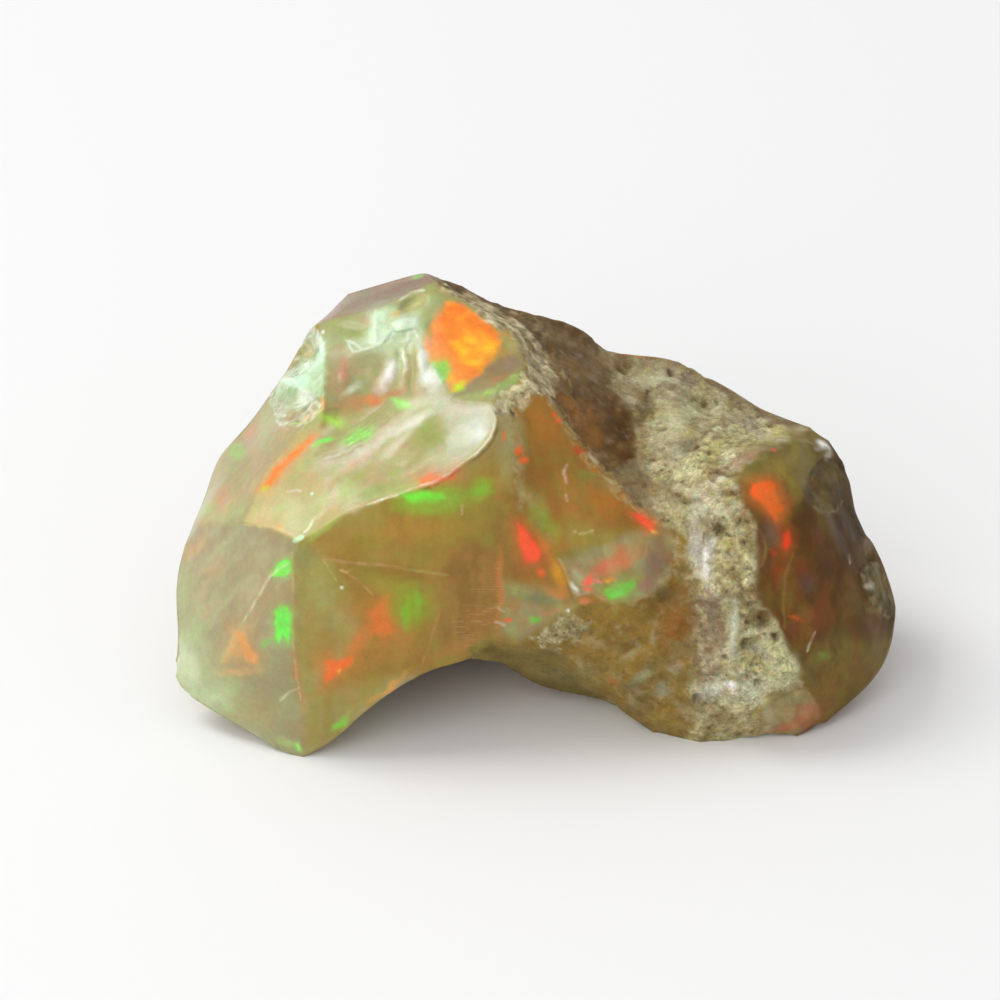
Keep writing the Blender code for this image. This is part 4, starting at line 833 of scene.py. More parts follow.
# Relief that is too fine for the solid: height in millimetres (below zero is a hollow), across,
# down, half length, half width, turn in degrees
BUMPS = (
    (0.18, 389, 372, 9, 22, 8),
    (-0.12, 398, 366, 3, 20, 0),
    (0.10, 404, 364, 3, 20, 0),
    (-0.16, 411, 374, 4, 24, 0),
    (0.18, 421, 362, 6, 18, -12),
    (-0.12, 362, 370, 14, 16, 0),
    (0.10, 343, 376, 7, 18, 0),
    (-0.26, 304, 354, 14, 9, -40),
    (0.16, 302, 378, 20, 4, -10),
    (-0.24, 298, 397, 14, 10, 0),
    (-0.14, 284, 396, 7, 8, 0),
    (-0.10, 292, 418, 16, 5, 10),
    (-0.18, 412, 303, 17, 7, -28),
    (0.12, 402, 326, 14, 7, 0),
    (0.14, 376, 328, 5, 18, 0),
    (-0.12, 402, 337, 13, 3.5, 0),
    (-0.08, 350, 330, 16, 8, 0),
    (0.12, 828, 488, 17, 26, 8),
    (0.12, 878, 589, 13, 28, -24),
    (0.16, 865, 545, 9, 10, 10),
    (0.14, 822, 449, 8, 8, 0),
    (0.22, 561, 632, 25, 11, -20),
    (-0.22, 703, 401, 9, 6, 30),
    (-0.22, 692, 445, 13, 7, -15),
    (-0.16, 644, 410, 8, 22, 14),
    (-0.16, 671, 372, 8, 5, 20),
    (-0.22, 690, 500, 14, 4, -10),
    (0.20, 706, 560, 5, 26, 0),
    (0.20, 734, 632, 8, 34, 4),
    (-0.22, 761, 616, 13, 8, 20),
    (-0.12, 752, 643, 12, 6, -30),
    (0.18, 740, 696, 24, 12, -20),
    (-0.14, 574, 395, 8, 2.5, 48),
    (-0.16, 655, 414, 4, 18, 8),
    (-0.14, 770, 533, 10, 16, -10),
)

# Raised and sunken lines: height in millimetres, width in pixels, points
SCORES = (
    (0.04, 3.0, ((494, 407), (496, 422), (491, 438), (478, 453), (463, 464), (449, 474),
      (432, 483), (415, 488), (398, 495))),
    (0.06, 2.6, ((346, 340), (353, 353), (364, 350), (377, 346), (386, 340))),
    (-0.06, 2.4, ((389, 324), (393, 330), (388, 339), (384, 343))),
    (-0.10, 3.0, ((713, 536), (720, 533), (731, 536))),
)

# Ripples of the break: height in millimetres, width in pixels, how many, the step from one to
# the next in pixels, points of the first
RIPPLES = (
    (0.022, 1.8, 5, (1.4, 3.4), ((350, 430), (364, 421), (378, 410), (390, 400))),
    (0.024, 2.2, 4, (1.8, 5.0), ((320, 446), (333, 443), (346, 437), (358, 429))),
)

# The sides that the photograph doesn't show, in bands across the stone: what they are made of,
# two colours, the size of their clouds, the direction across the band, and where it starts and
# ends that way, in millimetres
HIDDEN_WASHES = (
    (GLASS, OLIVE_HONEY, HONEY, 2.6, (1.0, 0.0, 0.0), -30.0, 30.0),
    (GLASS, MILK_AND_GLOW, SAGE_MILK_AND_GLOW, 2.0, (0.92, 0.0, 0.38), -30.0, -10.5),
    (GLASS, AMBER, DARK_AMBER, 2.4, (0.90, 0.10, 0.42), -2.5, 30.0),
    (ROCK, ROCK_MID, ROCK_PALE, 1.2, (0.90, 0.16, -0.40), -8.6, -7.2),
    (SKIN, BARK, DARK_BARK, 1.6, (0.90, 0.16, -0.40), -7.8, -0.5),
    (GLASS, AMBER, RUSSET, 1.8, (0.94, -0.10, -0.34), -1.8, 30.0),
    (ROCK, ROCK_MID, ROCK_PALE, 1.2, (0.96, -0.22, -0.18), 2.5, 30.0),
    (GLASS, COFFEE, RUST, 2.2, (0.94, 0.10, 0.32), 12.4, 30.0),
)

# Stains on the hidden sides: the grounds that they lie on, colour, strength, the share that they
# cover and their size in millimetres
HIDDEN_STAINS = (
    (GLASS, WORN, ROSE, 0.4, 0.35, 2.0),
    (GLASS, WORN, LEAF, 0.5, 0.4, 1.6),
    (GLASS, WORN, DARK_FAWN, 0.4, 0.4, 1.2),
    (GLASS, WORN, RUSSET, 0.5, 0.35, 2.4),
    (GLASS, WORN, PALE_HONEY, 0.5, 0.34, 0.9),
    (GLASS, WORN, (126, 104, 48), 0.5, 0.3, 1.0),
    (SKIN, SKIN, RUST, 0.5, 0.34, 2.0),
    (SKIN, SKIN, GRIT, 0.6, 0.3, 1.0),
    (SKIN, SKIN, (78, 60, 38), 0.6, 0.34, 0.8),
    (CRUST, ROCK, (142, 116, 72), 0.7, 0.42, 2.2),
    (CRUST, ROCK, RIB, 0.6, 0.42, 1.4),
    (CRUST, ROCK, (112, 90, 54), 0.6, 0.28, 0.9),
)

# Flashes on the hidden glassy sides: how many groups, how many in each, how far they spread and
# how long they are in millimetres, and their colours
FLASH_GROUPS = 20
FLASHES_IN_GROUP = 8
FLASH_SPREAD = 1.3
FLASH_LENGTHS = (0.4, 1.7)
FLASH_BOX = ((-16.0, 2.0, 1.0), (16.0, 9.5, 17.0))
FLASH_COLOURS = (GREEN, LIME, DEEP_GREEN, ORANGE, DULL_ORANGE, RED_ORANGE, GOLD)
FLASH_SEED = 8

# How much of their full colour the fine lines, the comb, the ripples and the specks take on, and
# the weakest paint that still shows
LINE_STRENGTH = 0.7
COMB_STRENGTH = 0.5
RIPPLE_STRENGTH = 0.5
RIPPLE_FULL_HEIGHT = 0.022
SPECK_STRENGTH = 0.8
FAINTEST_MASK = 0.003

# The comb's soft border, its teeth as a part of a sine wave, and the breaks along them
COMB_SOFTNESS = 16
COMB_TEETH = (0.2, 1.0)
COMB_BREAKS = (-0.3, 0.6)
COMB_BREAK_SIZE = 0.3
COMB_STRETCH = (0.25, 1, 1)

# The hidden flashes' widths and height as shares of their length, their strengths, how many
# neighbouring colours a group has, and how far and over what length their edges wave
FLASH_WIDTHS = (0.25, 0.6)
FLASH_HEIGHT = 0.8
FLASH_STRENGTHS = (0.4, 1.0)
LIKE_COLOURS = 3
FLASH_WAVE = 0.25
FLASH_WAVE_SIZE = 0.8

# How each kind of mark fades: from full to nothing, as shares of its reach
STROKE_FADE = (0.15, 1.0)
DAB_FADE = (0.1, 1.5)
SPECK_FADE = (0.3, 1.1)
BUMP_FADE = (0.1, 1.2)
FLASH_FADE = (0.3, 1.2)

# A flash has a weak halo round it, a soft core, and a fine haze that thins it
HALO_STRENGTH = 0.3
HALO_REACH = 3.5
CORE_SOFTNESS = 0.7
HAZE = 0.3
HAZE_SIZE = 0.4
HAZE_RANGE = (-0.2, 0.7)

# A line's width at its ends, how fast it grows from there, and how it breaks up along its way
LINE_END_WIDTH = 0.4
LINE_END_GROWTH = 8.0
BREAK_SIZE = 0.45
BREAK_RANGE = (-0.5, 0.4)
FAINTEST_BREAK = 0.25

# How painted edges stray, in pixels: slowly and quickly, for ragged, loose and tight edges
DRIFT_SIZE = 1.1
SHIVER_SIZE = 0.32
STRAYS = ((6.0, 5.0), (4.0, 2.2), (1.2, 0.7))
FACET_LOOSENESS = 0.3

# How noise is turned into clouds, streaks and stains: the part of its range that counts, where
# the photograph's plane cuts the noise of the streaks, and how much weaker each finer layer is
CLOUD_RANGE = (-0.5, 0.5)
MOTTLE_RANGE = (0.2, 0.9)
STAIN_RANGE = (0.2, 0.8)
MOTTLE_LAYER = 0.5
LAYER_FADE = 1.7

# Edges of the bands on the hidden sides, in millimetres: softness, slow drift and raggedness
HIDDEN_EDGE_SOFTNESS = 0.3
HIDDEN_DRIFT = 1.8
HIDDEN_DRIFT_SIZE = 3.6
HIDDEN_RAGGEDNESS = 0.5
HIDDEN_RAGGED_SIZE = 0.8
SMOOTH_SHARE = 0.3

# How far a stain may lie from its ground, and where a side counts as hidden, by its turn
STAIN_REACH = 0.1
HIDDEN_TURN = (0.0, 0.3)
FLASH_TURN = (0.35, 1.0)
WELL_HIDDEN = 0.9

# Relief of each ground in millimetres, for glass, worn glass, skin, crust and rock
GROUNDS = (GLASS, WORN, SKIN, CRUST, ROCK)
COARSE_SIZE, COARSE_HEIGHTS = 1.5, (0.01, 0.03, 0.10, 0.14, 0.20)
FINE_SIZE, FINE_HEIGHTS = 0.42, (0.0, 0.008, 0.04, 0.055, 0.08)
CRUMB_SIZE, CRUMB_HEIGHTS = 0.34, (0.0, 0.0, 0.0, 0.02, 0.10)
PIT_SIZE, PIT_DEPTHS = 1.3, (0.0, 0.0, 0.05, 0.10, 0.20)
FINE_LAYERS = 2

# How unevenly high the crumbs are, how far and over what length their borders wave, how a pit
# fades to its rim in sizes of a pit, and the share of the places that have none
CRUMB_UNEVENNESS = 0.7
CRUMB_WAVE = 0.1
CRUMB_WAVE_SIZE = 0.3
PIT_FADE = (0.08, 0.26)
PIT_CHANCE = 0.5

# Bumps that are narrower than this in pixels keep tight edges, and relief has its full height
# from this far above the base, in millimetres
NARROW_BUMP = 8
RELIEF_START = 0.8

# Painted light and shade of the rough ground: where crumbs set in, how much their tones differ, how
# much lighter their crowns are painted, the painted shade in the gaps between them, which shows in
# patches, and the painted shade in the pits
CRUMBLY = (0.72, 0.98)
CRUMB_VARIETY = 0.30
CROWN_LIGHT = 0.18
CROWN_SLOPE = 1.6
GAP_SHADE_COLOUR = (118, 98, 60)
GAP_SHADE_STRENGTH = 0.5
GAP_EDGE = (0.5, 0.85)
PATCH_SIZE = 1.4
PATCH_RANGE = (-0.4, 0.5)
PITTED = (0.45, 0.8)
PIT_SHADE_STRENGTH = 0.6

# How the mesh is made finer: rounds of cutting, and how many of them paint it anew
CUT_ROUNDS = 5
PAINTED_ROUNDS = 2

# Where the edges are finer: this near a mark, in pixels, with a narrower strip along a facet's
# outline, this near a dab, in its own reach, and on ground at least as rough. The finer edges of
# marks and dabs are only where the front shows at least this much.
FINE_MARGIN = 2.0
FACET_MARGIN = 0.8
FLASH_MARGIN = 1.3
ROUGH_LEAST = 0.72
FRONT_LEAST = 0.3

# Each of an edge's two faces lifts its new middle by one part in so many of what the normals at
# its ends ask for
LIFT_PARTS = 16

# How often and how strongly the surface is evened out, and how strongly at the worn corner
EVENING_ROUNDS = 10
EVENING_STRENGTH = 0.6
BLUNT_STRENGTH = 0.2

# No distance is as long as the first and no face is as small as the second. Points lower than the
# base level lie on the base, and points that are alike in so many digits are one.
FAR = 1e9
TINY = 1e-12
BASE_LEVEL = 1e-4
SEAM_DIGITS = 4

# Large factors, and shifts with factors, that stir a lattice cell and a seed into a steady random
# number from zero to the largest
SEED_FACTOR = 2654435761
CELL_FACTORS = (73856093, 19349663, 83492791)
STIRS = ((13, 1274126177), (11, 668265263))
LARGEST = 0x7FFFFFFF

# Seeds of the noises, each far enough from the next for its layers
DRIFT_SEEDS = (11, 21)
SHIVER_SEEDS = (31, 41)
HAZE_SEED = 51
COMB_SEED = 61
BREAK_SEED = 71
WASH_SEED = 100
HIDDEN_DRIFT_SEED = 401
HIDDEN_RAGGED_SEED = 411
HIDDEN_WASH_SEED = 500
FLASH_WAVE_SEED = 600
STAIN_SEED = 620
COARSE_SEED = 701
FINE_SEED = 711
CRUMB_WAVE_SEED = 730
CRUMB_SEED = 741
PIT_SEED = 751
PATCH_SEED = 761
MOTTLE_SEED = 900
WASH_SEED_STEP = 7
SPOT_SEED_STEP = 5

# Fine noise in the material: the size of its lumps in millimetres, detail, roughness, the part of
# its range that counts, and the tones that it adds there
ROUGH_TONES = (
    (0.15, 4, 0.65, 0.3, 0.7, -0.24, 0.24),
    (0.6, 3, 0.55, 0.3, 0.7, -0.12, 0.12),
    (0.2, 2, 0.55, 0.55, 0.68, 0.0, 0.32),
    (0.28, 3, 0.55, 0.31, 0.42, -0.38, 0.0),
)
SPECKLE_TONE = (0.09, 2, 0.55, 0.3, 0.7, -0.035, 0.035)
LIGHT_TONE = (0.5, 4, 0.55, 0.3, 0.7, 0.96, 1.04)
ROSY_TONE = (0.27, 3, 0.55, 0.3, 0.7, -0.07, 0.07)
LEAFY_TONE = (0.36, 3, 0.55, 0.3, 0.7, -0.07, 0.07)

# Gloss and depth of the opal: roughness of glass and of rock, smears on it, and how far red,
# green and blue light go in, in millimetres
ROUGH_GROUNDS = (0.2, 1.0)
GLASS_ROUGHNESS = 0.14
ROCK_ROUGHNESS = 0.78
ROUGHEST_GROUND = 0.9
SMEAR_SIZE = 0.9
SMEAR = 0.16
OPAL_IOR = 1.45
OPAL_SPECULAR = 0.22
DEPTH_WEIGHT = 0.3
DEPTH_COLOURS = (1.0, 0.7, 0.4)
DEPTH = 0.5
PORE_SIZE, PORE_DETAIL, PORE_ROUGHNESS = 0.11, 5, 0.7
PORE_DEPTH = 0.10
PORE_STRENGTH = 0.8

# The stage, in metres: the floor, the lamps' names, directions, distances, sizes and radiances,
# and the tent of light, weak to strong towards its bright side
FLOOR_SIZE = 4.0
FLOOR_GREY = 0.9
FLOOR_ROUGHNESS = 0.9
STONE_MIDDLE = (0, 0, 0.009)
LAMPS = (
    ("key", (-0.56, 0.16, 0.83), 0.45, 0.19, 7.0),
    ("front", (-0.35, -0.8, 0.55), 0.6, 0.5, 1.4),
)
TENT_DIRECTION = (-0.62, -0.25, 0.74)
TENT_RANGE = (-0.7, 0.8)
TENT_STRENGTHS = (0.28, 0.72)


def photo_place(points):
    """Across and down, as the photograph shows points that are in millimetres in the row frame."""
    from_centre = points - STONE_SHIFT
    per_mm = 1 / (PIXEL * (1 - from_centre @ TOWARD / VIEW_DISTANCE))
    across = VIEW_CENTRE + from_centre @ RIGHT * per_mm
    down = VIEW_CENTRE - from_centre @ UP * per_mm
    return np.stack([across, down], 1)


def smoothstep(low, high, value):
    share = np.clip((value - low) / (high - low), 0.0, 1.0)
    return share * share * (3 - 2 * share)


def fading(fade, reach):
    """Full near the middle and nothing further out, as a fade says."""
    return 1 - smoothstep(*fade, reach)


def linear(colour):
    """A display colour, 0 to 255, as linear light."""
    value = np.asarray(colour, float) / 255
    return np.where(value <= 0.04045, value / 12.92, ((value + 0.055) / 1.055) ** 2.4)


def on_base(points):
    return points[:, 2] < BASE_LEVEL


# Noise


def lattice(cells, seed):
    """A steady random number from 0 to 1 for each cell of a lattice."""
    mixed = seed * SEED_FACTOR
    for axis, factor in enumerate(CELL_FACTORS):
        mixed = mixed ^ (cells[..., axis].astype(np.int64) * factor)
    for shift, factor in STIRS:
        mixed = ((mixed ^ (mixed >> shift)) * factor) & LARGEST
    return mixed / LARGEST


def cloud(points, size, seed):
    """Smooth noise from -1 to 1, with lumps of the given size."""
    scaled = points / size
    cell = np.floor(scaled)
    share = smoothstep(0, 1, scaled - cell)
    total = np.zeros(len(points))
    for corner in np.ndindex(2, 2, 2):
        weight = np.ones(len(points))
        for axis in range(3):
            weight *= share[:, axis] if corner[axis] else 1 - share[:, axis]
        total += weight * lattice(cell + corner, seed)
    return total * 2 - 1


def layered(points, size, seed, layers=3):
    """Noise from -1 to 1 with finer and finer lumps."""
    total = np.zeros(len(points))
    most = 0.0
    for layer in range(layers):
        total += cloud(points, size / 2**layer, seed + layer) / LAYER_FADE**layer
        most += 1 / LAYER_FADE**layer
    return total / most


def waved(points, reach, noise, size, seed):
    """The points, moved up to some reach along each axis by noise."""
    return points + reach * np.stack([noise(points, size, seed + axis) for axis in range(3)], 1)


def spots(share_range, cover, noise):
    """Full where noise is high: with more cover, on a larger share of the surface."""
    low, high = share_range
    return smoothstep(low - cover, high - cover, noise)


def cells_of(points, size, seed):
    """Distance to the nearest of the scattered centres, in cell sizes, and its own number."""
    scaled = points / size
    cell = np.floor(scaled)
    nearest = np.full(len(points), FAR)
    kind = np.zeros(len(points))
    for step in np.ndindex(3, 3, 3):
        other = cell + step - np.ones(3)
        centre = other + np.stack([lattice(other, seed + axis) for axis in range(3)], 1)
        distance = np.linalg.norm(centre - scaled, axis=1)
        nearer = distance < nearest
        nearest = np.where(nearer, distance, nearest)
        kind = np.where(nearer, lattice(other, seed + 3), kind)
    return nearest, kind


# Masks on the photograph's plane


def from_segment(places, start, end):
    """How far along a segment its nearest point lies, from 0 to 1, and the way from there."""
    span = end - start
    share = np.clip((places - start) @ span / (span @ span), 0, 1)
    return share, places - start - share[:, None] * span


def inside(places, outline):
    """Distance in pixels from an outline, above zero inside it."""
    nearest = np.full(len(places), FAR)
    within = np.zeros(len(places), bool)
    corners = np.array(outline, float)
    for start, end in zip(corners, np.roll(corners, -1, axis=0)):
        _, gap = from_segment(places, start, end)
        nearest = np.minimum(nearest, (gap * gap).sum(1))
        crosses = (start[1] > places[:, 1]) != (end[1] > places[:, 1])
        across, down = end - start
        if down:
            meets = start[0] + (places[:, 1] - start[1]) * across / down
            within ^= crosses & (places[:, 0] < meets)
    return np.where(within, 1, -1) * np.sqrt(nearest)


def from_line(places, line):
    """Distance in pixels from a line, and how far along it, from 0 to 1."""
    corners = np.array(line, float)
    lengths = np.linalg.norm(np.diff(corners, axis=0), axis=1)
    nearest = np.full(len(places), FAR)
    along = np.zeros(len(places))
    passed = 0.0
    for start, end, length in zip(corners, corners[1:], lengths):
        share, gap = from_segment(places, start, end)
        distance = np.linalg.norm(gap, axis=1)
        nearer = distance < nearest
        nearest = np.where(nearer, distance, nearest)
        along = np.where(nearer, (passed + share * length) / lengths.sum(), along)
        passed += length
    return nearest, along


def turned(places, length, width, turn):
    """The places on axes that are turned by some degrees, in lengths and widths."""
    angle = math.radians(turn)
    x, y = places.T
    along = (x * math.cos(angle) + y * math.sin(angle)) / length
    aside = (y * math.cos(angle) - x * math.sin(angle)) / width
    return along, aside


def from_middle(places, across, down, half_length, half_width, turn):
    """Distance from the middle of an oval, 1 at its edge."""
    return np.hypot(*turned(places - (across, down), half_length, half_width, turn))


def outline_mask(places, outline, softness):
    return smoothstep(-softness / 2, softness / 2, inside(places, outline))


def mottle_mask(places, cover, length, width, turn, seed):
    """Clouds or streaks on the photograph's plane, from 0 to 1."""
    along, aside = turned(places, length, width, turn)
    flat = np.stack([along, aside, np.full(len(along), MOTTLE_LAYER)], 1)
    return spots(MOTTLE_RANGE, cover, layered(flat, 1.0, seed))


def stroke_mask(places, width, line):
    gap, along = from_line(places, line)
    from_end = np.minimum(along, 1 - along)
    taper = np.clip(from_end * LINE_END_GROWTH + LINE_END_WIDTH, 0, 1)
    return fading(STROKE_FADE, gap / (width * taper))


def rippled(places):
    """Height of the ripples of the break, in millimetres."""
    height = np.zeros(len(places))
    for rise, width, count, step, line in RIPPLES:
        for number in range(count):
            moved = np.array(line, float) + np.array(step) * number
            height += rise * stroke_mask(places, width, moved)
    return height


# Paint


def lay(colour, mask, paint):
    """Paints over a colour where a mask says, with one display colour or with what a function
    gives there."""
    here = mask > FAINTEST_MASK
    laid = paint(here) if callable(paint) else linear(paint)
    colour[here] += (laid - colour[here]) * mask[here, None]


def clouded(points, main, other, size, seed):
    mix = smoothstep(*CLOUD_RANGE, layered(points, size, seed))[:, None]
    return linear(main) * (1 - mix) + linear(other) * mix


def wash(colour, ground, mask, kind, points, main, other, size, seed):
    """Lays clouds of two colours, and what the stone is made of there."""
    lay(colour, mask, lambda here: clouded(points[here], main, other, size, seed))
    ground += (kind - ground) * mask


def strayed(places, points):
    """Three copies of the places, which stray far, less and least: they give edges their form."""
    drift = np.stack([layered(points, DRIFT_SIZE, seed) for seed in DRIFT_SEEDS], 1)
    shiver = np.stack([cloud(points, SHIVER_SIZE, seed) for seed in SHIVER_SEEDS], 1)
    return [places + slow * drift + quick * shiver for slow, quick in STRAYS]


def lay_washes(colour, ground, points, ragged, tight):
    for number, (kind, main, other, size, softness, outline) in enumerate(WASHES):
        edge = ragged if kind in (ROCK, CRUST) else tight
        seed = WASH_SEED + WASH_SEED_STEP * number
        wash(colour, ground, outline_mask(edge, outline, softness), kind, points, main, other,
             size, seed)


def lay_mottles(colour, loose):
    for number, (paint, strength, *form, softness, outline) in enumerate(MOTTLES):
        mask = strength * outline_mask(loose, outline, softness)
        here = mask > 0
        mask[here] *= mottle_mask(loose[here], *form, MOTTLE_SEED + SPOT_SEED_STEP * number)
        lay(colour, mask, paint)


def lay_flashes(colour, points, loose, tight):
    """The flat flashes and facets, and the soft dabs."""
    haze = 1 - HAZE * smoothstep(*HAZE_RANGE, layered(points, HAZE_SIZE, HAZE_SEED))
    places = FACET_LOOSENESS * loose + (1 - FACET_LOOSENESS) * tight
    for paint, strength, softness, outline in FACETS:
        depth = inside(places, outline)
        halo = HALO_STRENGTH * strength * smoothstep(-HALO_REACH * softness, softness, depth)
        core = strength * haze * smoothstep(-softness, softness * CORE_SOFTNESS, depth)
        lay(colour, np.maximum(halo, core), paint)
    for paint, strength, *oval in DABS:
        lay(colour, strength * haze * fading(DAB_FADE, from_middle(loose, *oval)), paint)


def lay_lines(colour, points, loose, tight):
    """The comb of scratches, the ripples, the fine lines and the specks."""
    comb = outline_mask(loose, COMB_AREA, COMB_SOFTNESS)
    comb *= smoothstep(*COMB_TEETH, np.sin(tight[:, 1] * 2 * math.pi / COMB_SPACING))
    comb *= smoothstep(*COMB_BREAKS, layered(points * COMB_STRETCH, COMB_BREAK_SIZE, COMB_SEED))
    lay(colour, COMB_STRENGTH * comb, COMB_COLOUR)
    broken = smoothstep(*BREAK_RANGE, layered(points, BREAK_SIZE, BREAK_SEED))
    broken = FAINTEST_BREAK + (1 - FAINTEST_BREAK) * broken
    crests = np.clip(rippled(tight) / RIPPLE_FULL_HEIGHT, 0, 1)
    lay(colour, RIPPLE_STRENGTH * broken * crests, DARK_FAWN)
    for paint, strength, width, line in STROKES:
        lay(colour, LINE_STRENGTH * strength * broken * stroke_mask(tight, width, line), paint)
    for paint, across, down, radius in SPECKS:
        place = loose if paint == CRACK_AND_PIT_SHADE else tight
        reach = from_middle(place, across, down, radius, radius, 0)
        lay(colour, SPECK_STRENGTH * fading(SPECK_FADE, reach), paint)


def paint_front(places, points):
    """Colour in linear light, and what the stone is made of, as the photograph shows it."""
    ragged, loose, tight = strayed(places, points)
    colour = np.tile(linear(HONEY), (len(points), 1))
    ground = np.zeros(len(points))
    lay_washes(colour, ground, points, ragged, tight)
    lay_mottles(colour, loose)
    lay_flashes(colour, points, loose, tight)
    lay_lines(colour, points, loose, tight)
    return colour, ground


def lay_hidden_washes(colour, ground, points):
    drift = HIDDEN_DRIFT * layered(points, HIDDEN_DRIFT_SIZE, HIDDEN_DRIFT_SEED)
    ragged = HIDDEN_RAGGEDNESS * layered(points, HIDDEN_RAGGED_SIZE, HIDDEN_RAGGED_SEED)
    soft = HIDDEN_EDGE_SOFTNESS
    for number, (kind, main, other, size, direction, start, end) in enumerate(HIDDEN_WASHES):
        ragged_here = ragged if kind == ROCK else SMOOTH_SHARE * ragged
        place = points @ np.array(direction) + drift + ragged_here
        mask = smoothstep(start - soft, start + soft, place)
        mask *= 1 - smoothstep(end - soft, end + soft, place)
        seed = HIDDEN_WASH_SEED + WASH_SEED_STEP * number
        wash(colour, ground, mask, kind, points, main, other, size, seed)


def lay_hidden_stains(colour, ground, points):
    for number, (least, most, paint, strength, cover, size) in enumerate(HIDDEN_STAINS):
        noise = layered(points, size, STAIN_SEED + SPOT_SEED_STEP * number)
        on_it = (ground > least - STAIN_REACH) & (ground < most + STAIN_REACH)
        lay(colour, strength * on_it * spots(STAIN_RANGE, cover, noise), paint)


def lay_hidden_flashes(colour, ground, points, hidden):
    """Groups of flashes of like colours, only where the surface is well out of sight."""
    random = np.random.default_rng(FLASH_SEED)
    glassy = np.flatnonzero((ground < WORN) & (hidden > WELL_HIDDEN))
    wavy = waved(points, FLASH_WAVE, layered, FLASH_WAVE_SIZE, FLASH_WAVE_SEED)
    for _ in range(FLASH_GROUPS):
        target = random.uniform(*FLASH_BOX)
        middle = points[glassy[np.linalg.norm(points[glassy] - target, axis=1).argmin()]]
        axes = np.linalg.qr(random.normal(size=(3, 3)))[0]
        first = random.integers(len(FLASH_COLOURS))
        for _ in range(FLASHES_IN_GROUP):
            place = middle + random.normal(size=3) * FLASH_SPREAD
            long = random.uniform(*FLASH_LENGTHS)
            sizes = np.array((long, long * random.uniform(*FLASH_WIDTHS), long * FLASH_HEIGHT))
            paint = FLASH_COLOURS[(first + random.integers(LIKE_COLOURS)) % len(FLASH_COLOURS)]
            strength = random.uniform(*FLASH_STRENGTHS)
            reach = np.linalg.norm((wavy - place) @ axes / sizes, axis=1)
            mask = strength * fading(FLASH_FADE, reach) * (ground < WORN)
            mask *= smoothstep(*FLASH_TURN, hidden)
            lay(colour, mask, paint)


def paint_hidden(points, hidden):
    """Colour and ground of the sides that the photograph doesn't show."""
    colour = np.tile(linear(HONEY), (len(points), 1))
    ground = np.zeros(len(points))
    lay_hidden_washes(colour, ground, points)
    lay_hidden_stains(colour, ground, points)
    lay_hidden_flashes(colour, ground, points, hidden)
    return colour, ground


def crumbs_and_pits(points):
    """How far from the middle of its crumb a point is, that crumb's number, and how deep in a pit
    the point is, from 0 to 1."""
    wavy = waved(points, CRUMB_WAVE, cloud, CRUMB_WAVE_SIZE, CRUMB_WAVE_SEED)
    gap, kind = cells_of(wavy, CRUMB_SIZE, CRUMB_SEED)
    hollow, chance = cells_of(wavy, PIT_SIZE, PIT_SEED)
    return gap, kind, fading(PIT_FADE, hollow) * (chance > PIT_CHANCE)


def shaded(points, colour, ground):
    """Paints shade into the crevices between the crumbs and into the pits of the rough parts,
    paints light on the crumbs' crowns, and varies their tones.
    """
    gap, kind, pit = crumbs_and_pits(points)
    crumbly = smoothstep(*CRUMBLY, ground)
    tone = 1 + crumbly * (CRUMB_VARIETY * (kind - 0.5) + CROWN_LIGHT * (1 - CROWN_SLOPE * gap))
    colour = colour * tone[:, None]
    patchy = smoothstep(*PATCH_RANGE, layered(points, PATCH_SIZE, PATCH_SEED))
    lay(colour, GAP_SHADE_STRENGTH * crumbly * patchy * smoothstep(*GAP_EDGE, gap), GAP_SHADE_COLOUR)
    lay(colour, PIT_SHADE_STRENGTH * smoothstep(*PITTED, ground) * pit, CRACK_AND_PIT_SHADE)
    return colour


def by_ground(ground, heights):
    return np.interp(ground, GROUNDS, heights)


def relief(points, places, front, ground):
    """How far each point stands out of the smooth surface, in millimetres."""
    height = by_ground(ground, COARSE_HEIGHTS) * layered(points, COARSE_SIZE, COARSE_SEED)
    height += by_ground(ground, FINE_HEIGHTS) * layered(points, FINE_SIZE, FINE_SEED, FINE_LAYERS)
    gap, kind, pit = crumbs_and_pits(points)
    height += by_ground(ground, CRUMB_HEIGHTS) * (CRUMB_UNEVENNESS * kind - gap)
    height -= by_ground(ground, PIT_DEPTHS) * pit
    _, loose, tight = strayed(places, points)
    for rise, *oval in BUMPS:
        place = tight if min(oval[2:4]) < NARROW_BUMP else loose
        height += rise * front * fading(BUMP_FADE, from_middle(place, *oval))
    for rise, width, line in SCORES:
        height += rise * front * stroke_mask(places, width, line)
    return height + front * rippled(places)


# The finished mesh


def least_of(distances):
    nearest = FAR
    for distance in distances:
        nearest = np.minimum(nearest, distance)
    return nearest


def fine_mark_distances(places):
    """Distances in pixels from what needs the finest mesh: lines, specks, flash edges, ripples,
    the comb and fine crumbs."""
    for _, _, width, line in STROKES:
        yield from_line(places, line)[0] - width
    for _, across, down, radius in SPECKS:
        yield from_middle(places, across, down, 1, 1, 0) - radius
    for *_, outline in FACETS:
        yield np.abs(inside(places, outline)) + FACET_MARGIN
    for _, width, count, step, line in RIPPLES:
        middle = np.array(line, float) + np.array(step) * (count - 1) / 2
        yield from_line(places, middle)[0] - (count - 1) / 2 * math.hypot(*step) - width
    yield -inside(places, COMB_AREA)
    for _, _, _, length, *_, outline in MOTTLES:
        if length < FINE_MOTTLE:
            yield -inside(places, outline)


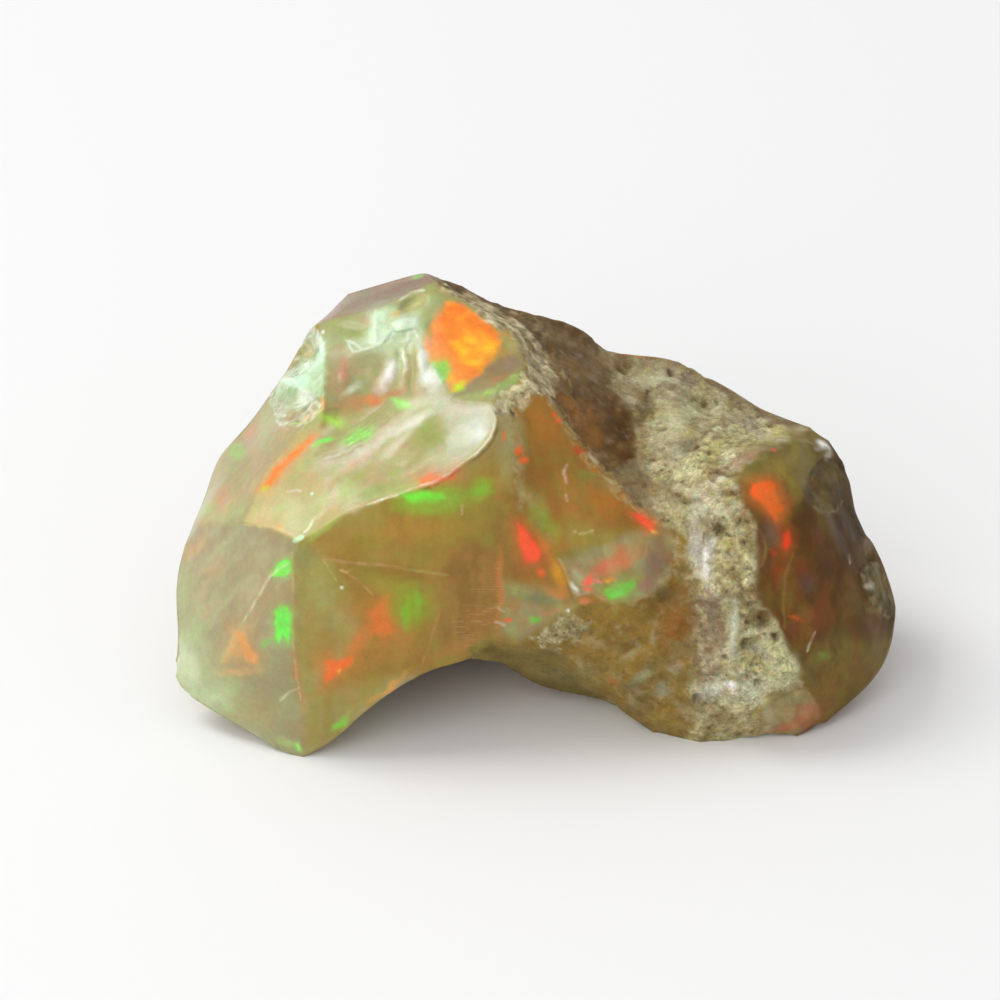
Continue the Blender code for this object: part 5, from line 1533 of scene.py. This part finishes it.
def wanted_edges(points, front, ground):
    """The longest edge that the surface may have at each point, in millimetres."""
    places = photo_place(points)
    near_line = least_of(fine_mark_distances(places))
    ovals = [dab[2:] for dab in DABS] + [bump[1:] for bump in BUMPS]
    near_flash = least_of(from_middle(places, *oval) for oval in ovals)

    edge = HIDDEN_EDGE + (FRONT_EDGE - HIDDEN_EDGE) * front
    shown = front > FRONT_LEAST
    edge[shown & (near_flash < FLASH_MARGIN)] = FLASH_EDGE
    edge[ground > ROUGH_LEAST] = HIDDEN_ROCK_EDGE
    edge[shown & (ground > ROUGH_LEAST)] = ROCK_EDGE
    edge[shown & (near_line < FINE_MARGIN)] = LINE_EDGE
    edge[on_base(points)] = BASE_EDGE
    return edge


def edges_of(faces, count):
    """The edges as pairs of points, and the numbers of each face's three edges."""
    ends = np.sort(faces[:, [[0, 1], [1, 2], [2, 0]]].reshape(-1, 2), axis=1)
    keys, number = np.unique(ends[:, 0] * count + ends[:, 1], return_inverse=True)
    return np.stack([keys // count, keys % count], 1), number.reshape(-1, 3)


def face_normals(points, faces):
    a, b, c = (points[faces[:, corner]] for corner in range(3))
    return np.cross(b - a, c - a)


def unit(vectors):
    return vectors / np.maximum(np.linalg.norm(vectors, axis=1), TINY)[:, None]


def gather(numbers, vectors, count):
    """The sum of the vectors that go to each number."""
    return np.stack([np.bincount(numbers, vectors[:, axis], count) for axis in range(3)], 1)


def vertex_normals(points, faces):
    across = face_normals(points, faces)
    return unit(sum(gather(faces[:, corner], across, len(points)) for corner in range(3)))


def sharp_edges(points, faces, least):
    """The edges whose faces meet at more than the least angle there, as pairs of points."""
    edges, of_face = edges_of(faces, len(points))
    normals = unit(face_normals(points, faces))
    owners = (np.argsort(of_face.reshape(-1), kind="stable") // 3).reshape(-1, 2)
    bend = (normals[owners[:, 0]] * normals[owners[:, 1]]).sum(1)
    return edges[bend < np.cos(least[edges].max(1))]


def corner_normals(points, faces, of_face, is_sharp):
    """The normal at each face corner, rounded over soft edges and split at sharp ones."""
    twins = np.argsort(of_face.reshape(-1), kind="stable").reshape(-1, 2)[~is_sharp]
    face_a, side_a = twins[:, 0] // 3, twins[:, 0] % 3
    face_b, side_b = twins[:, 1] // 3, twins[:, 1] % 3
    # Both faces run round the same way, so the edge's start in one is its end in the other
    left = np.concatenate([face_a * 3 + side_a, face_a * 3 + (side_a + 1) % 3])
    right = np.concatenate([face_b * 3 + (side_b + 1) % 3, face_b * 3 + side_b])
    label = np.arange(faces.size)
    settled = None
    while settled is None or not np.array_equal(settled, label):
        settled = label.copy()
        least = np.minimum(label[left], label[right])
        np.minimum.at(label, left, least)
        np.minimum.at(label, right, least)
    across = np.repeat(face_normals(points, faces), 3, axis=0)
    return unit(gather(label, across, faces.size))[label].reshape(-1, 3, 3)


def edge_lifts(points, faces, edges, of_face, is_sharp):
    """How far each edge's middle lies off its straight line, on a smooth curve."""
    normals = corner_normals(points, faces, of_face, is_sharp)
    lift = np.zeros((len(edges), 3))
    for side in range(3):
        after = (side + 1) % 3
        span = points[faces[:, after]] - points[faces[:, side]]
        at_start, at_end = normals[:, side], normals[:, after]
        rise = (span * at_start).sum(1)[:, None] * at_start
        fall = (span * at_end).sum(1)[:, None] * at_end
        lift -= gather(of_face[:, side], rise - fall, len(edges)) / LIFT_PARTS
    lift[on_base(points)[edges].all(1)] = 0
    return lift


def cut_faces(points, faces, middle):
    """Parts each face at the middles of its cut edges. An edge that isn't cut has -1."""
    cuts = (middle >= 0).sum(1)
    whole, parts = faces[cuts == 3], middle[cuts == 3]
    made = [faces[cuts == 0], parts]
    for side in range(3):
        made.append(np.stack([whole[:, side], parts[:, side], parts[:, side - 1]], 1))
        turn = [(side + step) % 3 for step in range(3)]
        one = (cuts == 1) & (middle[:, side] >= 0)
        (a, b, c), m = faces[one][:, turn].T, middle[one][:, side]
        made += [np.stack([a, m, c], 1), np.stack([m, b, c], 1)]
        # Two cut edges: the side before the turned face's first corner is the uncut one
        two = (cuts == 2) & (middle[:, turn[2]] < 0)
        (a, b, c), (m, n, _) = faces[two][:, turn].T, middle[two][:, turn].T
        across_a = np.linalg.norm(points[a] - points[n], axis=1)
        across_c = np.linalg.norm(points[m] - points[c], axis=1)
        from_a = across_a < across_c
        made += [
            np.stack([m, b, n], 1),
            np.stack([a, m, np.where(from_a, n, c)], 1),
            np.stack([np.where(from_a, a, m), n, c], 1),
        ]
    return np.concatenate(made)


def split_long_edges(points, faces, sharp, longest, carried):
    """Cuts the edges that are too long in two, with the middles on a smooth curve, where they
    get the mean of the values that are carried."""
    count = len(points)
    edges, of_face = edges_of(faces, count)
    is_sharp = np.isin(edges[:, 0] * count + edges[:, 1], sharp[:, 0] * count + sharp[:, 1])
    start, end = points[edges[:, 0]], points[edges[:, 1]]
    cut = np.linalg.norm(end - start, axis=1) > longest[edges].min(1)
    middles = (start + end) / 2 + edge_lifts(points, faces, edges, of_face, is_sharp)
    number = np.full(len(edges), -1)
    number[cut] = count + np.arange(cut.sum())
    points = np.concatenate([points, middles[cut]])
    carried = np.concatenate([carried, carried[edges[cut]].mean(1)])
    halved = is_sharp & cut
    sharp = np.concatenate([
        edges[is_sharp & ~cut],
        np.stack([edges[halved, 0], number[halved]], 1),
        np.stack([edges[halved, 1], number[halved]], 1),
    ])
    return points, cut_faces(points, faces, number[of_face]), sharp, carried


def relax(points, faces, sharp, strength, rounds):
    """Evens out the surface between the sharp edges. A point on one sharp edge moves only along
    it, and a point where more of them meet stays."""
    count = len(points)
    edges, _ = edges_of(faces, count)
    on_ridge = np.bincount(sharp.reshape(-1), minlength=count)
    here, there = np.concatenate([edges, edges[:, ::-1]]).T
    soft = on_ridge[here] == 0
    ridge_here, ridge_there = np.concatenate([sharp, sharp[:, ::-1]]).T
    along = on_ridge[ridge_here] == 2
    here = np.concatenate([here[soft], ridge_here[along]])
    there = np.concatenate([there[soft], ridge_there[along]])
    near = np.bincount(here, minlength=count)
    share = np.where(near > 0, strength, 0)[:, None] / np.maximum(near, 1)[:, None]
    for _ in range(rounds):
        points = points + share * gather(here, points[there] - points[here], count)
    return points


def packed_surface():
    """The points, in millimetres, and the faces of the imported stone, with its seams closed."""
    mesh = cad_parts["rough_opal"].data
    mesh.calc_loop_triangles()
    points = np.empty(len(mesh.vertices) * 3)
    mesh.vertices.foreach_get("co", points)
    faces = np.empty(len(mesh.loop_triangles) * 3, int)
    mesh.loop_triangles.foreach_get("vertices", faces)
    points = points.reshape(-1, 3) / MM
    _, first, number = np.unique(np.round(points, SEAM_DIGITS), axis=0, return_index=True,
                                 return_inverse=True)
    faces = number.reshape(-1)[faces.reshape(-1, 3)]
    kept = (faces != np.roll(faces, 1, axis=1)).all(1)
    return points[first], faces[kept]


def painted(points, faces):
    """Colour, ground and how much each point faces the photograph's view."""
    facing = vertex_normals(points, faces) @ TOWARD
    front = smoothstep(UNSEEN, SEEN, facing)
    shown, shown_ground = paint_front(photo_place(points), points)
    hidden, hidden_ground = paint_hidden(points, smoothstep(*HIDDEN_TURN, -facing))
    colour = hidden + (shown - hidden) * front[:, None]
    ground = hidden_ground + (shown_ground - hidden_ground) * front
    return shaded(points, colour, ground), ground, front


def first_sharp_edges(points, faces):
    """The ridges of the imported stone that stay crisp: more of them on glass than on rock."""
    _, ground, _ = painted(points, faces)
    least = np.interp(ground, (GLASS, WORN), (SHARP_ANGLE, ROUGH_SHARP_ANGLE))
    least[on_base(points)] = SHARP_ANGLE
    return sharp_edges(points, faces, least)


def evened(points, faces, sharp):
    """The points evened out between the crisp ridges, with the worn corner rounded."""
    blunt = np.linalg.norm(points - BLUNT_CORNER, axis=1) < BLUNT_REACH
    sharp = sharp[~blunt[sharp].any(1)]
    strength = np.where(blunt, BLUNT_STRENGTH, EVENING_STRENGTH)
    strength[on_base(points)] = 0
    return relax(points, faces, sharp, strength, EVENING_ROUNDS)


def fine_surface():
    """The stone's surface with its fine relief, its colour and its ground."""
    points, faces = packed_surface()
    sharp = first_sharp_edges(points, faces)
    for number in range(CUT_ROUNDS):
        if number < PAINTED_ROUNDS:
            _, ground, front = painted(points, faces)
        longest = wanted_edges(points, front, ground)
        points, faces, sharp, carried = split_long_edges(points, faces, sharp, longest,
                                                         np.stack([ground, front], 1))
        ground, front = carried.T
    points = evened(points, faces, sharp)

    colour, ground, front = painted(points, faces)
    above_base = smoothstep(0, RELIEF_START, points[:, 2])
    height = relief(points, photo_place(points), front, ground) * above_base
    points = points + vertex_normals(points, faces) * height[:, None]
    low, high = (np.array(corner) / MM for corner in CAD_BOX)
    return np.clip(points, low, high), faces, colour, ground


def stone_piece():
    points, faces, colour, ground = fine_surface()
    mesh = bpy.data.meshes.new("opal_surface")
    mesh.vertices.add(len(points))
    mesh.vertices.foreach_set("co", (points * MM).astype(np.float32).reshape(-1))
    mesh.loops.add(faces.size)
    mesh.loops.foreach_set("vertex_index", faces.reshape(-1).astype(np.int32))
    mesh.polygons.add(len(faces))
    mesh.polygons.foreach_set("loop_start", np.arange(0, faces.size, 3, dtype=np.int32))
    mesh.update(calc_edges=True)
    mesh.validate()
    mesh.shade_smooth()
    paint = mesh.color_attributes.new("paint", "FLOAT_COLOR", "POINT")
    opaque = np.concatenate([np.clip(colour, 0, 1), np.ones((len(colour), 1))], axis=1)
    paint.data.foreach_set("color", opaque.astype(np.float32).reshape(-1))
    kind = mesh.attributes.new("ground", "FLOAT", "POINT")
    kind.data.foreach_set("value", ground.astype(np.float32))
    piece = bpy.data.objects.new("opal_surface", mesh)
    bpy.context.scene.collection.objects.link(piece)
    piece.data.materials.append(opal_material())
    return piece


# Materials


class Wiring:
    """Short ways to make and link a material's nodes."""

    def __init__(self, name):
        self.material = bpy.data.materials.new(name)
        self.material.use_nodes = True
        self.nodes = self.material.node_tree.nodes
        self.links = self.material.node_tree.links
        self.shader = self.nodes["Principled BSDF"]

    def join(self, source, socket):
        if isinstance(source, bpy.types.NodeSocket):
            self.links.new(source, socket)
        else:
            socket.default_value = source

    def join_all(self, node, sources):
        """Links or sets a node's inputs by name."""
        for name, source in sources.items():
            self.join(source, node.inputs[name])

    def attribute(self, name, output):
        node = self.nodes.new("ShaderNodeAttribute")
        node.attribute_name = name
        return node.outputs[output]

    def noise(self, size, detail=3.0, roughness=0.55):
        """Noise whose lumps have a size in millimetres."""
        place = self.nodes.new("ShaderNodeTexCoord").outputs["Object"]
        node = self.nodes.new("ShaderNodeTexNoise")
        self.join_all(node, {"Vector": place, "Scale": 1 / (size * MM), "Detail": detail,
                             "Roughness": roughness})
        return node.outputs["Fac"]

    def math(self, operation, first, second):
        node = self.nodes.new("ShaderNodeMath")
        node.operation = operation
        self.join(first, node.inputs[0])
        self.join(second, node.inputs[1])
        return node.outputs[0]

    def between(self, value, low, high, start, end):
        """Maps a value from one range to another, and stops at its ends."""
        node = self.nodes.new("ShaderNodeMapRange")
        self.join_all(node, {"Value": value, "From Min": low, "From Max": high,
                             "To Min": start, "To Max": end})
        return node.outputs["Result"]

    def tone(self, size, detail, roughness, low, high, start, end):
        """Noise with its range mapped to another."""
        return self.between(self.noise(size, detail, roughness), low, high, start, end)

    def tint(self, colour, red, green, blue):
        """A colour with each of its channels multiplied."""
        factors = self.nodes.new("ShaderNodeCombineXYZ")
        for source, socket in zip((red, green, blue), factors.inputs):
            self.join(source, socket)
        node = self.nodes.new("ShaderNodeVectorMath")
        node.operation = "MULTIPLY"
        self.links.new(colour, node.inputs[0])
        self.links.new(factors.outputs["Vector"], node.inputs[1])
        return node.outputs["Vector"]

    def bump(self, height, strength, distance):
        node = self.nodes.new("ShaderNodeBump")
        self.join_all(node, {"Height": height, "Strength": strength, "Distance": distance})
        return node.outputs["Normal"]


def opal_colour(wiring, rough_part):
    """The painted colour with fine grain: light and dark on rock, faint tints on glass too."""
    shade = wiring.tone(*ROUGH_TONES[0])
    for form in ROUGH_TONES[1:]:
        shade = wiring.math("ADD", shade, wiring.tone(*form))
    shade = wiring.math("MULTIPLY", shade, rough_part)
    shade = wiring.math("ADD", shade, wiring.tone(*SPECKLE_TONE))
    light = wiring.math("ADD", wiring.tone(*LIGHT_TONE), shade)
    red = wiring.math("ADD", light, wiring.tone(*ROSY_TONE))
    green = wiring.math("ADD", light, wiring.tone(*LEAFY_TONE))
    return wiring.tint(wiring.attribute("paint", "Color"), red, green, light)


def opal_material():
    """Glassy opal and porous rock in one skin, told apart by the ground that was painted."""
    wiring = Wiring("opal")
    ground = wiring.attribute("ground", "Fac")
    rough_part = wiring.between(ground, *ROUGH_GROUNDS, 0.0, 1.0)
    dull = wiring.between(ground, 0.0, ROUGHEST_GROUND, GLASS_ROUGHNESS, ROCK_ROUGHNESS)
    smear = wiring.math("MULTIPLY", wiring.noise(SMEAR_SIZE), SMEAR)
    pores = wiring.noise(PORE_SIZE, PORE_DETAIL, PORE_ROUGHNESS)
    height = wiring.math("MULTIPLY", pores, rough_part)
    wiring.join_all(wiring.shader, {
        "Base Color": opal_colour(wiring, rough_part),
        "Roughness": wiring.math("ADD", dull, smear),
        "Normal": wiring.bump(height, PORE_STRENGTH, PORE_DEPTH * MM),
        "IOR": OPAL_IOR,
        "Specular IOR Level": OPAL_SPECULAR,
        "Subsurface Weight": DEPTH_WEIGHT,
        "Subsurface Radius": DEPTH_COLOURS,
        "Subsurface Scale": DEPTH * MM,
    })
    return wiring.material


def floor_material():
    wiring = Wiring("floor")
    grey = (FLOOR_GREY, FLOOR_GREY, FLOOR_GREY, 1)
    wiring.join_all(wiring.shader, {"Base Color": grey, "Roughness": FLOOR_ROUGHNESS})
    return wiring.material


# The stage


def floor_piece():
    bpy.ops.mesh.primitive_plane_add(size=FLOOR_SIZE, location=(0, 0, 0))
    floor = bpy.context.object
    floor.name = "floor"
    floor.data.materials.append(floor_material())
    return floor


def photo_camera():
    data = bpy.data.cameras.new("camera")
    data.sensor_width = SENSOR
    data.lens = SENSOR * VIEW_DISTANCE / (IMAGE_SIZE * PIXEL)
    camera = bpy.data.objects.new("camera", data)
    camera.location = Vector((STONE_SHIFT + VIEW_DISTANCE * TOWARD) * MM)
    camera.rotation_euler = (math.pi / 2 - VIEW_ELEVATION, 0, 0)
    bpy.context.scene.collection.objects.link(camera)
    bpy.context.scene.camera = camera


def soft_light(name, direction, distance, size, radiance):
    """A square lamp that looks at the stone's middle."""
    data = bpy.data.lights.new(name, "AREA")
    data.size = size
    data.energy = radiance * math.pi * size * size
    lamp = bpy.data.objects.new(name, data)
    away = Vector(direction).normalized()
    lamp.location = Vector(STONE_MIDDLE) + away * distance
    lamp.rotation_euler = away.to_track_quat("Z", "Y").to_euler()
    bpy.context.scene.collection.objects.link(lamp)


def white_tent():
    """Light from all round, weaker from the right and behind."""
    world = bpy.data.worlds.new("white_tent")
    world.use_nodes = True
    nodes, links = world.node_tree.nodes, world.node_tree.links
    direction = nodes.new("ShaderNodeTexCoord")
    toward = nodes.new("ShaderNodeVectorMath")
    toward.operation = "DOT_PRODUCT"
    toward.inputs[1].default_value = TENT_DIRECTION
    strength = nodes.new("ShaderNodeMapRange")
    limits = dict(zip(("From Min", "From Max", "To Min", "To Max"), TENT_RANGE + TENT_STRENGTHS))
    for name, value in limits.items():
        strength.inputs[name].default_value = value
    links.new(direction.outputs["Generated"], toward.inputs[0])
    links.new(toward.outputs["Value"], strength.inputs["Value"])
    links.new(strength.outputs["Result"], nodes["Background"].inputs["Strength"])
    nodes["Background"].inputs["Color"].default_value = (1, 1, 1, 1)
    bpy.context.scene.world = world


def studio():
    white_tent()
    for lamp in LAMPS:
        soft_light(*lamp)
    bpy.context.scene.view_settings.view_transform = "Standard"


photo_camera()
studio()
floor_piece()
stone = stone_piece()
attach(stone, "root")
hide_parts("rough_opal")
